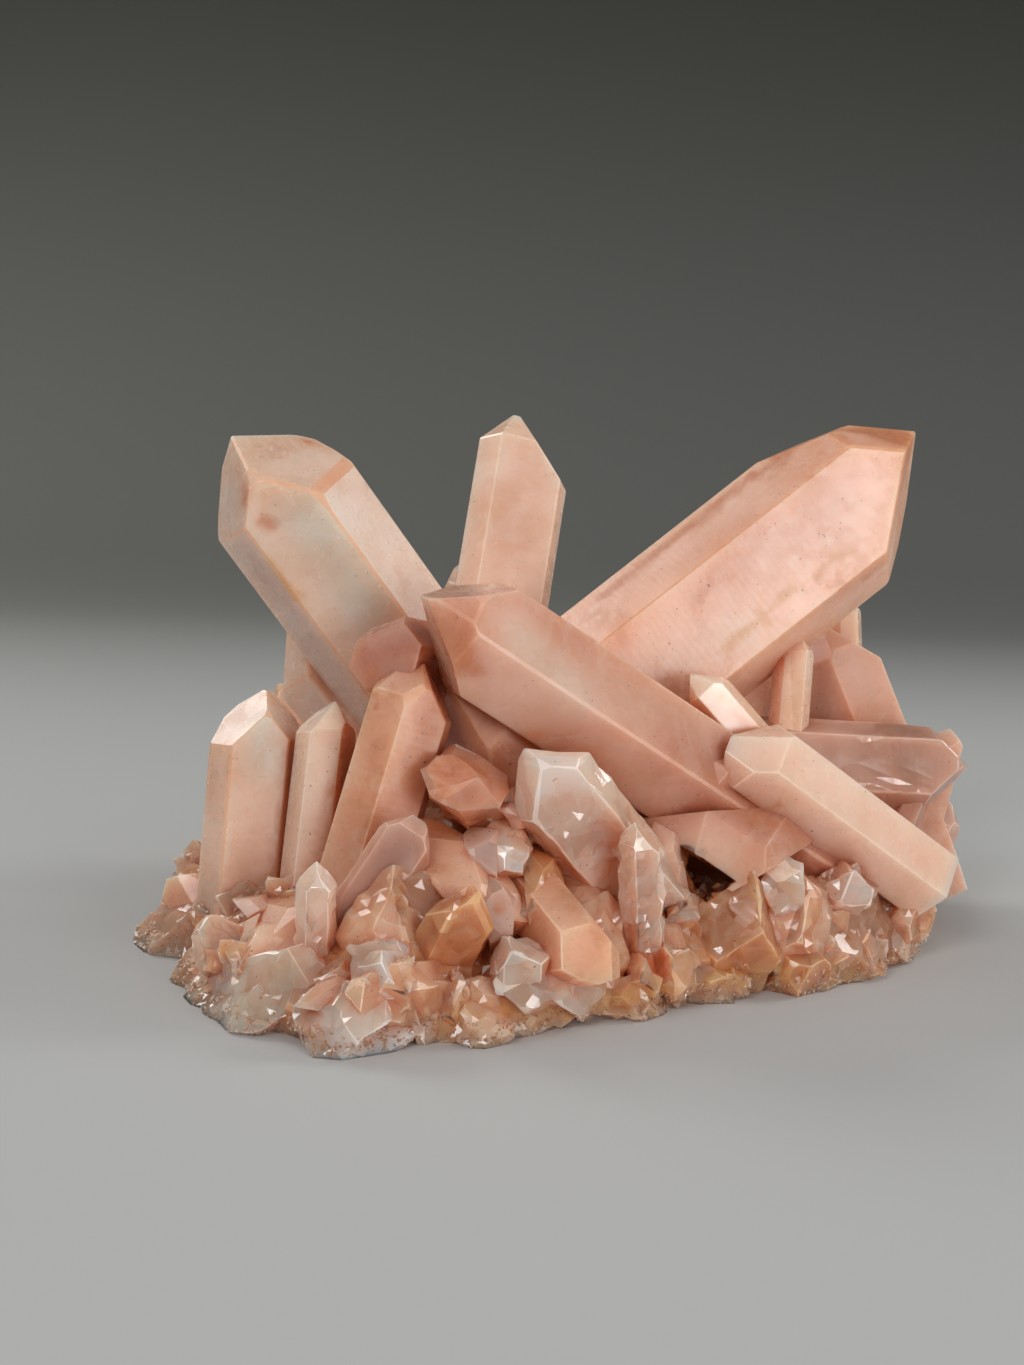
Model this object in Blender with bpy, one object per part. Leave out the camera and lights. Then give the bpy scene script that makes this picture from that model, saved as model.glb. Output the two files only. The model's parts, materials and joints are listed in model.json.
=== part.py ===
# A cluster of hematoid quartz: peach-pink six-sided points, grown together with the granular crust below them.
#
# Frame: +Z up, +X to the right and +Y away for someone facing the cluster's front. The origin is at the centre
# of the underside's box. Lengths in this file are millimetres until the last step, which turns them to metres.

import math
import random

import bmesh
import bpy
from mathutils import Matrix, Vector

MM = 0.001

# Driving dimensions, in millimetres
CRUST_HEIGHT = 15.0          # top of the crust's mound over the flat underside
CRUST_CENTRE = (-2.0, -4.0)  # middle of the mound
CRUST_DEPTH_BELOW = 3.0      # how far the uncut rock reaches under the flat cut
GRAIN_WIDTHS = (3.0, 6.6)    # small crystals of the crust, across
GRAIN_STANDS = (1.0, 3.4)    # how far they stand out of the mound
GRAIN_COUNT = 120
PIECE_SPREAD = 1.22          # how far neighbouring broken pieces grow into one another
BACK_SHARE = 0.95            # size of a broken piece's hidden back to its front
BREAK_TILTS = (14.0, 48.0)   # of its broken faces, near the middle of the front and at its edge, in degrees
BREAK_PLACES = (0.1, 0.85)   # where they lie, from the middle of the front to its edge
BREAK_SWING = 40.0           # how far they turn from the way out, in degrees
BREAK_DEPTH = 0.5            # how far those at the edge lie below the front
STUB_CUT_TILTS = (35.0, 70.0)  # of a stubby point's broken face from its axis, in degrees
STUB_CUT_DROPS = (0.5, 2.0)  # how far below the tip it starts
STUB_ROLL = 30.0             # in degrees
STUB_FLATS = (0.55, 1.0)
GRAIN_FLATS = (0.6, 1.0)
GRAIN_CROWDING = 1.4         # above 1 the grains crowd towards the rim
GRAIN_ROOT = 1.0             # how far a grain's root lies in the mound, besides its width
GRAIN_SWING = 40.0           # how far a grain turns from the way out, in degrees
RIM_RISE = 8.0               # how steeply the grains at the rim point up, in degrees
CROWN_LIFT = 62.0            # how much more those at the crown do
RISE_SPREAD = 25.0
SMALL_TIP_DROPS = (0.7, 1.3)
NARROW_TIP_DROPS = (0.0, 0.0, 0.35)
RING_UNEVENNESS = (0.97, 1.03)
RING_WAVE = 0.4              # up and down, along a ring of the mound
CROWN_RISE = 0.5             # of the mound's middle over its highest ring
FOOT_HALF = 60.0             # half the side of the block that cuts the underside flat
CRUST_SEED = 11
PIECE_SEED = 17

# Limits of the reckoning
NEARLY_END_ON = 0.2          # below this, a point's front face is taken from above
ON_PLANE = 0.00001
SAME_PLACE = 0.004           # corners that are closer are one
FLAT_ANGLE = math.radians(4.0)

# Quartz: six prism faces, and six tip faces whose normals lie 51.8 degrees from the long axis
TIP_FACE_ANGLE = math.radians(51.8)
TIP_SLOPE = math.tan(TIP_FACE_ANGLE)
ACROSS_CORNERS = 2.0 / math.cos(math.radians(30.0))

# The crust's outline on the underside, counter-clockwise seen from above, starting at the far left
CRUST_OUTLINE = [
    (-40, 3), (-38, -10), (-34, -20), (-27, -29), (-20, -35), (-11, -31), (-5, -26), (1, -22), (9, -21),
    (17, -15), (25, -11), (31, -2), (34, 9), (35, 20), (28, 25), (16, 25), (2, 24), (-12, 26), (-25, 23),
    (-35, 14),
]

# The crust's mound as rings from the underside up: share of the outline, share of the height
CRUST_RINGS = [
    (0.93, -0.2), (0.96, 0.08), (0.98, 0.24), (0.84, 0.44), (0.66, 0.66), (0.42, 0.88), (0.18, 1.0),
]


class Point:
    """One quartz point: where it is rooted, where its tip lies, its width, and how its tip faces are set.

    roll turns the prism about its axis; at 0 one prism face looks at the front. flat moves that face and the one
    behind it towards the axis. drops says how far down each of the six tip faces reaches, as a share of what a
    regular tip has, starting with the front face and going towards the side; 0 leaves that face out. cuts are
    broken faces: each has a direction about the axis, a tilt from the axis, and how far below the tip it meets
    the prism.
    """

    def __init__(self, name, root, tip, width, roll=0.0, flat=1.0,
                 drops=(1.0, 0.8, 1.0, 0.8, 1.0, 0.8), cuts=()):
        self.name = name
        self.root = Vector(root)
        self.tip = Vector(tip)
        self.width = width
        self.roll = roll
        self.flat = flat
        self.drops = drops
        self.cuts = cuts


# The large points, named by where they stand
MAIN_POINTS = [
    Point("left giant", (-9.5, 3.0, 12.5), (-33.7, -2.0, 45.4), 14.2,
          drops=(0.5, 0.95, 0.6, 1.0, 0.6, 0.84)),
    Point("right giant", (-6.9, -1.0, 16.8), (29.6, 6.0, 46.6), 16.8, flat=0.84,
          drops=(0.1, 1.14, 0.7, 0.9, 0.8, 0.8), cuts=((-90, 75, 13.9),)),
    Point("middle diagonal", (22.6, -5.0, 7.2), (-16.0, -17.0, 32.6), 11.6, roll=-22,
          drops=(0.62, 0.5, 0.9, 0.42, 0.9, 1.0)),
    Point("back upright", (-11.6, 6.0, 16.0), (-7.4, 19.0, 47.9), 9.8, roll=14, flat=0.65,
          drops=(0.9, 1.2, 0.9, 1.0, 0.6, 0.6)),
    Point("under left giant", (-11.0, 6.0, 5.0), (-30.0, 6.0, 28.4), 10.5, roll=18,
          drops=(0.6, 0.8, 1.0, 0.7, 1.0, 0.9)),
    Point("front pink", (-22.0, -17.6, 4.0), (-15.8, -14.0, 27.0), 7.8, roll=22,
          drops=(0.5, 1.0, 0.8, 1.0, 0.6, 0.72)),
    Point("blocky tip", (-9.0, 1.0, 23.6), (-19.2, -14.0, 27.4), 7.6, roll=8,
          drops=(0.0, 0.0, 0.3, 0.0, 0.0, 0.25), cuts=((0, 4, 0.0),)),
    Point("under the diagonal", (12.0, -5.0, 4.0), (-14.6, -11.0, 24.4), 12.0, roll=10,
          drops=(0.8, 0.5, 0.9, 0.8, 0.7, 1.0)),
    Point("left tooth", (-31.5, -12.0, 2.0), (-30.4, -8.0, 24.3), 8.4, roll=12, flat=0.85,
          drops=(0.5, 1.1, 0.7, 1.0, 0.8, 1.3)),
    Point("left slim", (-25.6, -16.0, 3.0), (-24.2, -11.0, 22.6), 5.2, roll=4,
          drops=(0.5, 0.5, 0.8, 1.0, 0.7, 0.9)),
    Point("small upright", (17.0, -1.0, 12.0), (17.9, 2.0, 28.9), 3.8,
          drops=(0.9, 0.8, 1.0, 0.7, 0.9, 0.8)),
    Point("back right", (33.0, 8.0, 2.0), (21.6, 13.0, 29.0), 10.4, roll=24,
          drops=(0.6, 1.0, 0.8, 1.0, 0.7, 0.7)),
    Point("back right thin", (26.0, 12.0, 8.0), (25.2, 18.0, 31.2), 3.6, roll=8),
    Point("smoky", (9.0, -1.0, 17.2), (34.2, 4.0, 15.8), 8.6, roll=-16, flat=0.8,
          drops=(0.3, 0.8, 0.8, 0.8, 0.3, 0.6)),
    Point("right end", (30.0, 5.0, 3.0), (34.9, 11.0, 19.4), 4.4, roll=20,
          drops=(0.8, 0.9, 0.8, 1.0, 0.9, 1.5)),
    Point("right end low", (30.0, 8.0, 0.0), (35.2, 10.5, 12.0), 5.0, roll=-10),
    Point("tan rod", (20.0, -7.5, 12.0), (7.6, -8.6, 25.4), 4.8, roll=14,
          drops=(0.3, 0.5, 0.8, 0.6, 0.8, 0.3)),
    Point("pale prism", (29.6, -6.0, 7.4), (10.8, -13.2, 21.0), 7.8, roll=-26,
          drops=(0.35, 0.7, 0.8, 0.8, 0.9, 0.3)),
    Point("rounded tip", (16.0, -10.0, 12.0), (9.0, -13.5, 18.8), 3.6, roll=10,
          drops=(0.3, 0.4, 0.5, 0.5, 0.5, 0.3)),
    Point("clear slab", (7.0, -15.5, 3.5), (-7.2, -22.0, 20.8), 8.0, roll=4, flat=0.7,
          drops=(0.2, 0.6, 0.8, 0.8, 0.7, 0.9)),
    Point("glossy white", (3.4, -20.0, 0.0), (2.0, -24.5, 15.8), 3.8, roll=16,
          drops=(0.5, 0.9, 0.8, 0.8, 0.6, 0.5)),
    Point("amber blade", (-15.0, -25.5, 1.0), (-10.4, -29.8, 12.2), 5.8, roll=20, flat=0.7,
          drops=(0.4, 1.0, 1.4, 0.8, 1.3, 0.5)),
    Point("front wedge", (-8.0, -18.0, 10.0), (-0.8, -30.8, 4.6), 6.2, roll=12,
          drops=(0.5, 0.9, 1.0, 0.4, 0.8, 1.2)),
    Point("big wedge", (9.2, -14.0, -1.0), (12.6, -19.4, 10.8), 9.4, roll=24, flat=0.8,
          drops=(0.7, 1.2, 0.9, 0.5, 1.0, 1.3)),
    Point("wedge beside", (15.0, -11.0, 0.0), (17.6, -17.2, 8.4), 6.4, roll=8,
          drops=(0.8, 1.3, 0.5, 0.6, 0.9, 1.1)),
    Point("mauve slab", (-22.5, -25.6, 4.0), (-15.8, -23.8, 14.8), 5.2, roll=-12, flat=0.6,
          drops=(0.1, 0.3, 0.6, 0.8, 0.5, 0.3)),
    Point("oval clear", (-23.4, -26.4, 2.0), (-23.2, -28.2, 12.6), 3.4, roll=10,
          drops=(0.6, 0.8, 0.8, 0.8, 0.8, 0.8)),
    Point("chunk point", (-18.6, -28.0, 2.0), (-17.2, -34.8, 6.6), 4.0, roll=14,
          drops=(0.9, 0.6, 1.2, 0.5, 0.9, 1.2)),
    Point("low left point", (-29.0, -19.0, 1.0), (-33.0, -25.6, 6.0), 5.2, roll=20,
          drops=(0.8, 1.1, 0.6, 0.9, 1.2, 0.5)),
    Point("centre point", (-6.0, -24.0, 1.0), (-7.8, -31.6, 7.6), 5.0, roll=6,
          drops=(0.9, 0.5, 1.2, 0.8, 1.1, 0.7)),
    Point("low right point", (6.0, -17.0, 0.0), (5.2, -25.0, 4.8), 4.6, roll=26,
          drops=(0.7, 1.2, 0.9, 0.6, 1.1, 0.8)),
    Point("heap point", (20.0, -7.0, 2.0), (21.6, -13.8, 10.6), 5.4, roll=16,
          drops=(0.9, 0.6, 1.2, 0.7, 1.1, 0.9)),
    Point("left end point", (-33.0, -6.0, 1.0), (-38.6, -9.0, 6.6), 5.4, roll=18,
          drops=(0.9, 0.6, 1.1, 0.8, 0.5, 1.2)),
    Point("right foot point", (14.0, -12.0, -1.0), (18.6, -18.6, 3.4), 5.6, roll=4,
          drops=(0.8, 1.2, 0.6, 0.9, 1.1, 0.6)),
    Point("far heap point", (26.0, -4.0, 1.0), (29.4, -8.4, 6.4), 4.8, roll=-10,
          drops=(0.8, 1.2, 0.6, 0.8, 1.0, 0.6)),
    Point("rear leaning", (-2.0, 8.0, 10.0), (-14.0, 27.0, 33.0), 9.0, roll=10),
    Point("rear right", (10.0, 8.0, 8.0), (19.0, 25.0, 26.0), 7.6, roll=-14,
          drops=(0.9, 0.5, 1.0, 0.8, 0.9, 0.6)),
    Point("rear left", (-20.0, 8.0, 5.0), (-33.0, 20.0, 20.0), 6.6, roll=22,
          drops=(0.7, 1.0, 0.6, 1.0, 0.7, 1.0)),
    Point("rear low", (2.0, 10.0, 6.0), (4.0, 28.0, 17.0), 6.2, roll=5),
    Point("rear small", (-10.0, 12.0, 6.0), (-20.0, 26.0, 15.0), 4.8, roll=15),
    Point("rear end", (24.0, 12.0, 4.0), (33.0, 23.0, 14.0), 5.2, roll=-8),
]

class Piece:
    """A broken piece: the corners of its front face, and the middle of its smaller back inside the cluster.

    breaks is how many broken faces the edges of the front have.
    """

    def __init__(self, name, back, *corners, breaks=5):
        self.name = name
        self.back = Vector(back)
        self.corners = [Vector(corner) for corner in corners]
        self.breaks = breaks


BROKEN_PIECES = [
    Piece("clear plate", (-26, -20, 1), (-33, -26, 2.5), (-29, -29, 5), (-24.5, -29, 5.5),
          (-23.5, -31.5, 5), (-25, -33, 3), (-27.5, -33, 1.5), (-30, -31, 0.5), (-33.5, -27, 1.5)),
    Piece("clear chunk", (-17, -26, 3), (-24.5, -34, 1), (-23.5, -35, 3.5), (-22, -34.5, 4),
          (-19, -34.5, 4), (-16.5, -34, 2.5), (-16, -35, 1), (-18, -37, 0), (-20.5, -38, -0.5),
          (-23, -37, 1),
          breaks=7),
    Piece("chunk's top", (-19, -26, 2), (-24, -33, 2), (-22.5, -32.5, 4.5), (-20.5, -36.5, 4.5),
          (-18, -35.5, 4.5), (-17.5, -37, 2.5), (-21, -38.5, 2), breaks=7),
    Piece("pink blade", (-18, -26, 3), (-23.5, -34.5, 3.5), (-21, -30, 6), (-20, -29.5, 6),
          (-20, -32.5, 5), (-22.5, -35.5, 4)),
    Piece("brown body", (-18, -18, 3), (-21, -28.5, 7.5), (-20, -28, 9.5), (-18, -27, 11.5),
          (-16, -26.5, 12), (-13.5, -27.5, 10), (-15, -29.5, 5.5), (-16.5, -30.5, 4),
          (-19.5, -30, 5.5), breaks=4),
    Piece("pale hollow", (-17, -24, 0), (-20, -31.5, 7), (-18, -30.5, 7.5), (-16, -30.5, 7),
          (-15.5, -31.5, 5), (-16, -33, 3), (-18.5, -33.5, 3), (-19.5, -33, 4.5), breaks=7),
    Piece("between left", (-24, -14, 3), (-29.5, -20, 7.5), (-26, -21, 9), (-23, -22, 9.5),
          (-22, -27, 7), (-24.5, -29, 5.5), (-28.5, -26, 6)),
    Piece("left stub", (-25, -17, 3.5), (-29, -25, 6.5), (-28, -24, 7.5), (-26.5, -23.5, 8),
          (-25.5, -25.5, 7.5), (-25.5, -28, 5.5), (-27, -29, 5), (-28.5, -28, 5.5)),
    Piece("left chip", (-30, -14, 2), (-31.5, -24, 4), (-31, -21, 6), (-30, -20.5, 7),
          (-28.5, -21.5, 7), (-29, -24.5, 6.5), (-29.5, -26.5, 5)),
    Piece("pale chip", (-27, -14, 3), (-31.5, -17, 7), (-30, -18, 7.5), (-28.5, -17.5, 8),
          (-28.5, -20.5, 7.5), (-30, -21, 7)),
    Piece("left lobe", (-30, -3, 0), (-41.5, -7, 1.5), (-40.5, -4, 4), (-38, -3.5, 6), (-36, -8, 6),
          (-36, -12.5, 4), (-38, -12.5, 1), (-41, -9, 0), breaks=3),
    Piece("low left", (-29, -14, 0), (-38, -14, 1), (-35.5, -16, 3), (-32.5, -21, 3.5),
          (-33, -24, 1.5), (-34.5, -23, 0), (-37, -17, 0.5), breaks=7),
    Piece("low left body", (-26, -16, 0), (-38, -14, 1), (-32.5, -20, 4), (-29.5, -26, 4),
          (-29, -30, 1.5), (-31.5, -29, 1), (-35, -22, -0.5), breaks=7),
    Piece("low left tip", (-27, -18, 0), (-31.5, -28, 0), (-33, -25, 0.5), (-30.5, -28, 3),
          (-28.5, -32, 2), (-30, -31, 0)),
    Piece("cracked cap", (-9.5, -13, 13), (-15, -20.5, 19), (-13.5, -18.5, 21), (-12, -19.5, 20.5),
          (-9.5, -20, 19), (-9.5, -21.5, 18.5), (-10, -23, 17.5), (-12.5, -23.5, 17),
          (-14.5, -22.5, 18), breaks=7),
    Piece("bright facets", (-8, -17, 10), (-10, -22, 15), (-8.5, -21.5, 15.5), (-7, -22.5, 14.5),
          (-7.5, -24.5, 12.5), (-9.5, -25, 12.5), breaks=7),
    Piece("mauve ball", (-10, -18, 10), (-12, -22.5, 14), (-11, -21.5, 15.5), (-9.5, -21.5, 15.5),
          (-9.5, -25.5, 12.5), (-11, -25, 13), breaks=7),
    Piece("nugget", (-7, -16, 13), (-9, -21.5, 16.5), (-8, -20.5, 17.5), (-7, -20, 18.5),
          (-7, -22, 15.5), (-8, -22.5, 15.5), breaks=7),
    Piece("broad prism", (-10, -15, 3), (-16.5, -22, 12.5), (-16, -20, 15), (-14.5, -20.5, 16),
          (-12, -22.5, 14), (-9, -24.5, 12), (-7.5, -26.5, 10), (-11, -28, 10), (-13.5, -26.5, 11.5)),
    Piece("peach body", (-2, -15, 2), (-7, -21, 14.5), (-6.5, -20.5, 14.5), (-4.5, -22, 12),
          (-3.5, -25, 8), (-2.5, -26.5, 6.5), (-5.5, -29.5, 5), (-6.5, -26.5, 9.5)),
    Piece("brown face", (0, -12, 4), (-4.5, -21.5, 12), (-2.5, -22, 10.5), (0.5, -22.5, 8.5),
          (1, -25, 5), (-0.5, -27, 3), (-2.5, -25.5, 6), (-3.5, -24, 8), breaks=4),
    Piece("front wedge", (-2, -18, 1), (-6, -27, 7.5), (-5.5, -26.5, 8), (-2, -26.5, 6.5),
          (-0.5, -28, 4.5), (-1.5, -29, 4), (-3, -30.5, 2.5), (-5, -30.5, 4.5), (-6.5, -28.5, 6.5)),
    Piece("mauve face", (-9, -21, 4), (-10.5, -27.5, 10), (-10, -26, 12), (-8, -26.5, 10.5),
          (-8, -28.5, 8.5), (-9.5, -29, 8)),
    Piece("mid low", (-8, -20, 0), (-15.5, -32.5, 2.5), (-13, -32, 4), (-8.5, -31, 4.5),
          (-5, -30.5, 3), (-4, -29.5, 1.5), (-7, -31, 0.5), (-12.5, -33.5, 0.5), (-15, -33.5, 0.5),
          breaks=7),
    Piece("low lump", (-10, -27, 0), (-12, -33.5, 1), (-11, -32.5, 3), (-9, -31.5, 3.5), (-7, -31.5, 2),
          (-8.5, -33, 0.5), (-10, -34, 0.5), breaks=7),
    Piece("pale lump", (-5, -21, 0), (-9, -30.5, 6), (-7, -29.5, 7), (-5.5, -30.5, 5), (-5, -31.5, 4),
          (-7, -32.5, 3.5), (-8.5, -32, 4.5), breaks=7),
    Piece("tan low", (2, -16, 0), (-4, -28, 2.5), (-0.5, -27, 3.5), (2.5, -25, 3.5), (7, -23, 2.5),
          (7.5, -23, 0.5), (2.5, -26, 0.5), (-0.5, -28, 1.5), breaks=7),
    Piece("slab body", (6, -10, 5), (4, -17, 14.5), (6.5, -17.5, 12.5), (7, -18, 11), (6.5, -19, 8.5),
          (5.5, -19.5, 8), (3.5, -20, 7.5), (3, -19, 11.5), breaks=4),
    Piece("hollow's lip", (10, -8, 11), (4, -16.5, 14.5), (8, -16, 15), (12, -15.5, 15.5),
          (16.5, -14.5, 15.5), (17, -15.5, 13), (12.5, -17.5, 11.5), (10.5, -18.5, 10), (6, -18, 12.5)),
    Piece("right flat", (6, -12, 3), (4, -18.5, 8), (6, -18, 7.5), (8, -19, 6.5), (6.5, -20.5, 4.5),
          (4.5, -21.5, 3.5), (2.5, -22, 4.5)),
    Piece("window block", (14, -9, 5), (13.5, -16.5, 11.5), (14.5, -16, 12), (16.5, -16, 11),
          (16.5, -17.5, 8.5), (14.5, -18.5, 8), (13.5, -18, 9.5)),
    Piece("right body", (21, -6, 2), (14, -18, 8), (16.5, -15.5, 9.5), (20, -13, 9), (22.5, -12.5, 6.5),
          (22, -15, 2.5), (18.5, -17.5, 1.5), (14.5, -20, 2.5), breaks=7),
    Piece("clear heap", (21, -6, 1), (17, -15, 7), (19.5, -13, 9), (22.5, -11.5, 9.5), (26, -10, 6),
          (27, -10.5, 3), (23.5, -14, 2), (19.5, -17, 1), (16.5, -18, 2.5), breaks=7),
    Piece("far right", (30, 0, 4), (24, -8, 8), (28, -5, 8), (31, -3, 6), (30.5, -5, 2.5),
          (27.5, -8, 2), (24.5, -10, 4)),
    Piece("right shelf", (27, -2, 2), (24, -8.5, 7), (27.5, -6.5, 5.5), (30, -5.5, 3), (30.5, -6.5, 1),
          (27.5, -8.5, 1), (25.5, -9.5, 4), breaks=7),
]

# The hollow between two of the pieces and a small one beside it, cut into the cluster
HOLLOWS = [
    Piece("hollow", (9, -9, 8.5), (5.5, -21, 13.5), (7.5, -21, 12.5), (10.5, -21, 10.5), (8, -21, 8.5),
          (6.5, -21, 9.5), (6, -21, 12), breaks=0),
    Piece("small hollow", (6, -14, 7), (4, -22, 8), (5.5, -22, 8.5), (4.5, -22, 7), breaks=0),
]

# The stubby broken points round the foot: name, root, tip, width across
SHARDS = [
    ("chip", (28.0, 0.0, 9.0), (30.4, 2.4, 15.2), 2.8),
    ("stub", (16.5, -10.0, 1.0), (14.0, -17.4, 5.4), 4.4),
    ("stub", (27.0, -3.0, 1.0), (27.4, -6.6, 5.8), 4.4),
    ("far chip", (34.0, 16.0, 1.0), (39.0, 19.0, 1.2), 3.4),
    ("plate", (2.0, -13.0, 5.5), (-3.4, -20.4, 17.0), 5.6),
    ("lump", (4.6, -16.0, 3.2), (2.4, -25.6, 3.4), 4.0),
    ("lump", (8.8, -14.0, 3.0), (7.8, -22.4, 1.8), 4.8),
    ("stub", (0.0, -14.0, 2.5), (-1.8, -21.6, 9.2), 5.6),
    ("stub", (20.0, -8.0, 6.0), (22.6, -11.4, 10.2), 4.4),
    ("stub", (-35.5, 2.0, 1.0), (-39.0, 4.0, 6.4), 4.6),
    ("stub", (-28.0, 12.0, 2.0), (-32.0, 19.0, 8.0), 5.2),
    ("stub", (14.0, 16.0, 2.0), (15.0, 24.0, 9.0), 5.6),
    ("stub", (30.0, 12.0, 1.0), (35.4, 14.0, 6.4), 4.4),
]


def crystal_axes(root, tip):
    """The long axis, the direction across it that looks most at the front, and the sideways one."""
    along = (tip - root).normalized()
    front = Vector((0.0, -1.0, 0.0))
    front = front - along * front.dot(along)
    if front.length < NEARLY_END_ON:
        front = Vector((0.0, 0.0, 1.0)) - along * along.z
    front.normalize()
    return along, front, along.cross(front)


def slice_away(bm, through, normal):
    """Cuts a convex block with a plane, throws away the side the normal points to, and closes the cut."""
    geometry = bm.verts[:] + bm.edges[:] + bm.faces[:]
    result = bmesh.ops.bisect_plane(bm, geom=geometry, dist=ON_PLANE, plane_co=through, plane_no=normal,
                                    clear_outer=True)
    rim = [item for item in result["geom_cut"] if isinstance(item, bmesh.types.BMEdge)]
    if len(rim) > 2:
        bmesh.ops.contextual_create(bm, geom=rim)


def block_around(middle, half):
    bm = bmesh.new()
    bmesh.ops.create_cube(bm, size=2.0 * half)
    bmesh.ops.translate(bm, verts=bm.verts, vec=middle)
    return bm


def cleave_point(point):
    """Cuts one quartz point out of a block, face by face."""
    along, front, side = crystal_axes(point.root, point.tip)
    length = (point.tip - point.root).length
    apothem = point.width / ACROSS_CORNERS
    bm = block_around((point.root + point.tip) / 2.0, length + 2.0 * point.width)
    for face in range(6):
        turn = math.radians(point.roll + 60.0 * face)
        outward = front * math.cos(turn) + side * math.sin(turn)
        reach = apothem * (point.flat if face in (0, 3) else 1.0)
        slice_away(bm, point.tip + outward * reach - along * reach, outward)
        if point.drops[face] > 0.0:
            shoulder = point.tip + outward * reach - along * (reach * TIP_SLOPE * point.drops[face])
            tip_normal = along * math.cos(TIP_FACE_ANGLE) + outward * math.sin(TIP_FACE_ANGLE)
            slice_away(bm, shoulder, tip_normal)
    for turn, tilt, drop in point.cuts:
        turn = math.radians(turn)
        tilt = math.radians(tilt)
        outward = front * math.cos(turn) + side * math.sin(turn)
        shoulder = point.tip + outward * (point.width / 2.0) - along * drop
        slice_away(bm, shoulder, along * math.cos(tilt) + outward * math.sin(tilt))
    slice_away(bm, point.root, -along)
    return bm


def carve_piece(piece, draw):
    """Cuts one broken piece: a front of several broken faces, and a back that lies inside the cluster."""
    middle = sum(piece.corners, Vector()) / len(piece.corners)
    spread = PIECE_SPREAD if piece.breaks else 1.0
    corners = [middle + (corner - middle) * spread for corner in piece.corners]
    normal = Vector()
    for here, following in zip(corners, corners[1:] + corners[:1]):
        normal += (here - middle).cross(following - middle)
    normal.normalize()
    if normal.dot(middle - piece.back) < 0.0:
        normal = -normal
    front = [corner - normal * normal.dot(corner - middle) for corner in corners]
    bm = bmesh.new()
    for corner in front:
        bm.verts.new(corner)
        bm.verts.new(piece.back + (corner - middle) * BACK_SHARE)
    made = bmesh.ops.convex_hull(bm, input=bm.verts)
    loose = {item for key in ("geom_interior", "geom_unused") for item in made[key]}
    inner = [item for item in loose if isinstance(item, bmesh.types.BMVert)]
    bmesh.ops.delete(bm, geom=inner, context="VERTS")
    bmesh.ops.dissolve_limit(bm, angle_limit=FLAT_ANGLE, verts=bm.verts, edges=bm.edges)
    for _ in range(piece.breaks):
        step = draw.randrange(len(front))
        rim = front[step].lerp(front[(step + 1) % len(front)], draw.random())
        share = draw.uniform(*BREAK_PLACES)
        swing = math.radians(draw.uniform(-BREAK_SWING, BREAK_SWING))
        outward = Matrix.Rotation(swing, 3, normal) @ (rim - middle).normalized()
        tilt = math.radians(BREAK_TILTS[0] + (BREAK_TILTS[1] - BREAK_TILTS[0]) * share)
        place = middle.lerp(rim, share) - normal * (BREAK_DEPTH * share)
        slice_away(bm, place, normal * math.cos(tilt) + outward * math.sin(tilt))
    return bm


def mound_ring(share, height, draw):
    """One ring of the crust's mound, the outline drawn in towards the middle, with a little unevenness."""
    middle = Vector(CRUST_CENTRE)
    ring = []
    for corner in CRUST_OUTLINE:
        reach = (Vector(corner) - middle) * share * draw.uniform(*RING_UNEVENNESS)
        place = middle + reach
        ring.append(Vector((place.x, place.y, height * CRUST_HEIGHT + draw.uniform(-RING_WAVE, RING_WAVE))))
    return ring


def build_mound(draw):
    """The solid rock under the points: rings of the outline, closed above and below."""
    bm = bmesh.new()
    rings = []
    for share, height in CRUST_RINGS:
        rings.append([bm.verts.new(place) for place in mound_ring(share, height, draw)])
    count = len(CRUST_OUTLINE)
    for lower, upper in zip(rings, rings[1:]):
        for step in range(count):
            following = (step + 1) % count
            bm.faces.new((lower[step], lower[following], upper[following]))
            bm.faces.new((lower[step], upper[following], upper[step]))
    crown = bm.verts.new((CRUST_CENTRE[0], CRUST_CENTRE[1], CRUST_HEIGHT + CROWN_RISE))
    heel = bm.verts.new((CRUST_CENTRE[0], CRUST_CENTRE[1], -CRUST_DEPTH_BELOW))
    for step in range(count):
        following = (step + 1) % count
        bm.faces.new((rings[-1][step], rings[-1][following], crown))
        bm.faces.new((rings[0][following], rings[0][step], heel))
    return bm


def place_on_mound(turn, climb):
    """A spot on the mound at a turn about its middle and a climb from the rim (0) to the crown (1)."""
    middle = Vector(CRUST_CENTRE)
    count = len(CRUST_OUTLINE)
    step = turn * count
    first = Vector(CRUST_OUTLINE[int(step) % count])
    second = Vector(CRUST_OUTLINE[(int(step) + 1) % count])
    rim = first.lerp(second, step % 1.0) - middle
    rings = CRUST_RINGS[1:]
    level = climb * (len(rings) - 1.001)  # stays below the last ring
    low = rings[int(level)]
    high = rings[int(level) + 1]
    share = low[0] + (high[0] - low[0]) * (level % 1.0)
    height = low[1] + (high[1] - low[1]) * (level % 1.0)
    place = middle + rim * share
    outward = Vector((rim.x, rim.y, 0.0)).normalized()
    return Vector((place.x, place.y, height * CRUST_HEIGHT)), outward


def three_faced_tip(draw):
    """Tip faces of a small point: three large ones, and at times a narrow one between them."""
    drops = []
    for _ in range(3):
        drops.append(draw.uniform(*SMALL_TIP_DROPS))
        drops.append(draw.choice(NARROW_TIP_DROPS))
    return drops


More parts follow.
